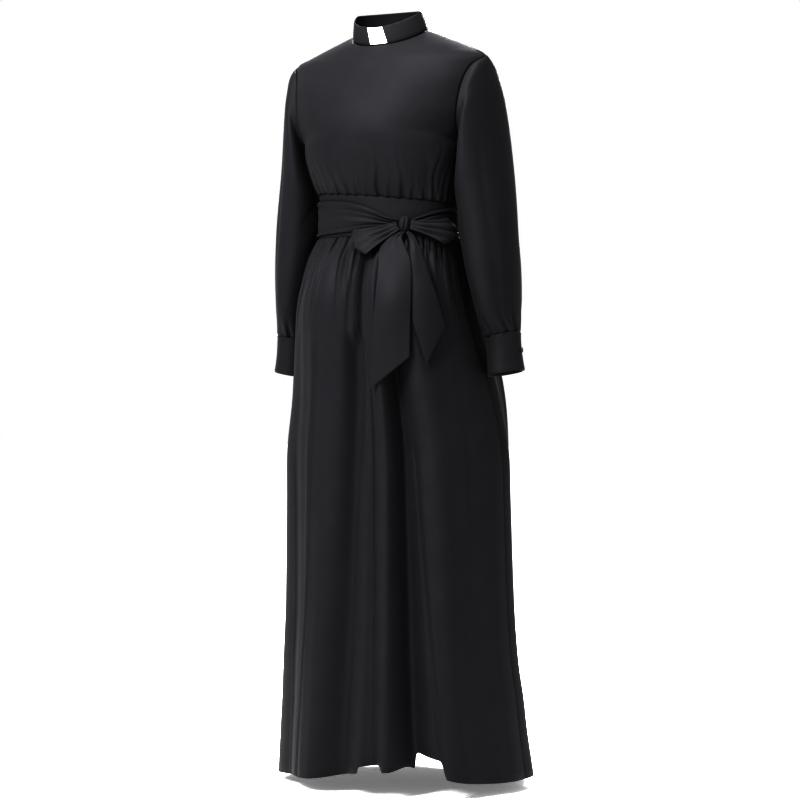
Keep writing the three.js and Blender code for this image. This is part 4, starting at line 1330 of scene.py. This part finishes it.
# Each light: how far right, behind and above the neck it stands as the camera looks, its width
# and height, all in metres, its power, and the height that it points at.
LIGHTS = {
    "key": (-1.8, -2.6, 1.5, 1.1, 1.6, 430, -0.3),
    "top": (0.1, -0.8, 2.3, 1.2, 1.2, 180, -0.2),
    "back": (0.5, 2.9, 1.2, 1.4, 1.8, 300, -0.4),
}
FLOOR_SIZE = 30.0
FLOOR_GLOW = 0.4
VIEW_GAMMA = 0.45


def make_light(name, right, back, height, width, tall, power, target_z):
    """A soft box that points at the dress."""
    data = bpy.data.lights.new(name, "AREA")
    data.shape = "RECTANGLE"
    data.size = width
    data.size_y = tall
    data.energy = power
    light = bpy.data.objects.new(name, data)
    bpy.context.scene.collection.objects.link(light)
    place = RIGHT * right + LOOK * back
    place[2] = height
    light.location = place
    light.rotation_euler = turned_to(place, (0, 0, target_z))


def make_stage():
    world = bpy.data.worlds.new("studio")
    bpy.context.scene.world = world
    world.use_nodes = True
    background = world.node_tree.nodes["Background"]
    background.inputs["Color"].default_value = (1, 1, 1, 1)
    background.inputs["Strength"].default_value = 1.0
    floor_z = FLOOR * MM
    sides = [(-1, -1), (1, -1), (1, 1), (-1, 1)]
    corners = [(x * FLOOR_SIZE, y * FLOOR_SIZE, floor_z) for x, y in sides]
    mesh = bpy.data.meshes.new("floor")
    mesh.from_pydata(corners, [], [(0, 1, 2, 3)])
    floor = bpy.data.objects.new("floor", mesh)
    bpy.context.scene.collection.objects.link(floor)
    material = bpy.data.materials.new("floor_pale")
    material.use_nodes = True
    principled = material.node_tree.nodes["Principled BSDF"]
    principled.inputs["Base Color"].default_value = (1, 1, 1, 1)
    principled.inputs["Roughness"].default_value = 1.0
    principled.inputs["Specular IOR Level"].default_value = 0.0
    principled.inputs["Emission Color"].default_value = (1, 1, 1, 1)
    principled.inputs["Emission Strength"].default_value = FLOOR_GLOW
    mesh.materials.append(material)
    for name, values in LIGHTS.items():
        make_light(name, *values)
    view = bpy.context.scene.view_settings
    view.view_transform = "Standard"
    view.look = "None"
    view.gamma = VIEW_GAMMA


# ---- The dress ----

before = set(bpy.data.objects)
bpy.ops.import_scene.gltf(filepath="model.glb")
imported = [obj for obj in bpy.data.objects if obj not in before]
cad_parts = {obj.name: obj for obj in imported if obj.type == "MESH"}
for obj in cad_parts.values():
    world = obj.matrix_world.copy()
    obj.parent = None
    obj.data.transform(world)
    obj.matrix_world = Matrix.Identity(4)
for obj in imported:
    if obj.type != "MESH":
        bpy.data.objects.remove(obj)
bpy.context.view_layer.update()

make_camera()
make_stage()
uneven = unevenness_group()
crepe = crepe_material(uneven)
thread = plain_material("black_thread", (0.02, 0.02, 0.021), 0.5, uneven, 300.0, 0.45, 0.6)
white = plain_material("tab_white", (0.90, 0.90, 0.89), 0.35, uneven, 60.0, 0.30, 0.42)
stitches = stitch_tree()
gloss = plain_material("button_black", (0.012, 0.012, 0.013), 0.2, uneven, 120.0, 0.14, 0.26)


def wear(piece, node, material=crepe):
    """The piece takes the node's place in the dress."""
    piece.data.materials.clear()
    piece.data.materials.append(material)
    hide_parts(node)
    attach(piece, "root")
    return piece


def sew(node, cloth, mirror=False):
    """A cloth piece made from the cloth, mirrored if asked, that takes the node's place in the dress.
    """
    piece = wear(cloth.make(node + "_cloth", mirror), node)
    return piece


def edge_stitches(name, cloth, rows, mirror=False):
    """Edge stitching that lies on a stiffened piece, along the given rows of its grid."""
    lines = []
    for row in rows:
        line = cloth.points[row, 1:-1] + cloth.out[row, 1:-1] * STITCH_RADIUS * 0.5
        if mirror:
            line = line * np.array([-1.0, 1.0, 1.0])
        lines.append(line)
    made = sewing(name, lines, stitches, thread)
    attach(made, "root")


bodice_front = bodice_piece(front_surface, -1, 1, FRONT_GATHERS, 230, 1, (True, True))
bodice_back_left = bodice_piece(back_surface, 0, 1, BACK_GATHERS, 110, -1, (False, True))
bodice_back_right = bodice_piece(back_surface, -1, 0, BACK_GATHERS, 110, -1, (True, False))
sleeve = sleeve_cloth()
cuff = cuff_cloth()
collar_left = collar_cloth(1)
collar_right = collar_cloth(-1)
waistband_front = waistband_cloth(-90, 90, 150)
waistband_back_left = waistband_cloth(90, 180, 75)
waistband_back_right = waistband_cloth(-180, -90, 75)
skirt_front = skirt_cloth(-90, 90, SKIRT_FRONT_GATHERS, 500, 92)
skirt_back_left = skirt_cloth(90, 180, SKIRT_BACK_GATHERS, 180, 92)
skirt_back_right = skirt_cloth(-180, -90, SKIRT_BACK_GATHERS, 180, 92)
knot_left = angle_across(KNOT["across"] + KNOT["halfWidth"] + KNOT_SIDE, KNOT["z"])
knot_right = angle_across(KNOT["across"] - KNOT["halfWidth"] - KNOT_SIDE, KNOT["z"])
sash_right = sash_cloth(-90, knot_right, 110, 44, "first")
sash_left = sash_cloth(knot_left, 90, 60, 44, "last")
sash_back = sash_cloth(-270, -90, 140, 36, "first last")
tail_right = tail_cloth(TAIL_RIGHT_SIDE, 16.5)
tail_left = tail_cloth(TAIL_LEFT_SIDE, 12.5)

sew("bodice_front", bodice_front)
sew("bodice_back_left", bodice_back_left)
sew("bodice_back_right", bodice_back_right)
sew("sleeve_left", sleeve)
sew("sleeve_right", sleeve, mirror=True)
sew("cuff_left", cuff)
sew("cuff_right", cuff, mirror=True)
sew("collar_left", collar_left)
sew("collar_right", collar_right)
sew("waistband_front", waistband_front)
sew("waistband_back_left", waistband_back_left)
sew("waistband_back_right", waistband_back_right)
sew("skirt_front", skirt_front)
sew("skirt_back_left", skirt_back_left)
sew("skirt_back_right", skirt_back_right)
sew("sash_wrap_right", sash_right)
sew("sash_wrap_left", sash_left)
sew("sash_wrap_back", sash_back)
sew("bow_loop_right", loop_cloth(LOOP_RIGHT_SIDE, -1))
sew("bow_loop_left", loop_cloth(LOOP_LEFT_SIDE, 1))
sew("sash_tail_right", tail_right)
sew("sash_tail_left", tail_left)

edge_stitches("collar_left_stitches", collar_left, COLLAR_STITCH_ROWS)
edge_stitches("collar_right_stitches", collar_right, COLLAR_STITCH_ROWS)
edge_stitches("cuff_left_stitches", cuff, CUFF_STITCH_ROWS)
edge_stitches("cuff_right_stitches", cuff, CUFF_STITCH_ROWS, mirror=True)

wear(knot_mesh("sash_knot_wrap"), "sash_knot")
wear(tab_cloth().make("collar_tab_insert"), "collar_tab", white)
wear(button_mesh("cuff_button_left_disc", 1), "cuff_button_left", gloss)
wear(button_mesh("cuff_button_right_disc", -1), "cuff_button_right", gloss)
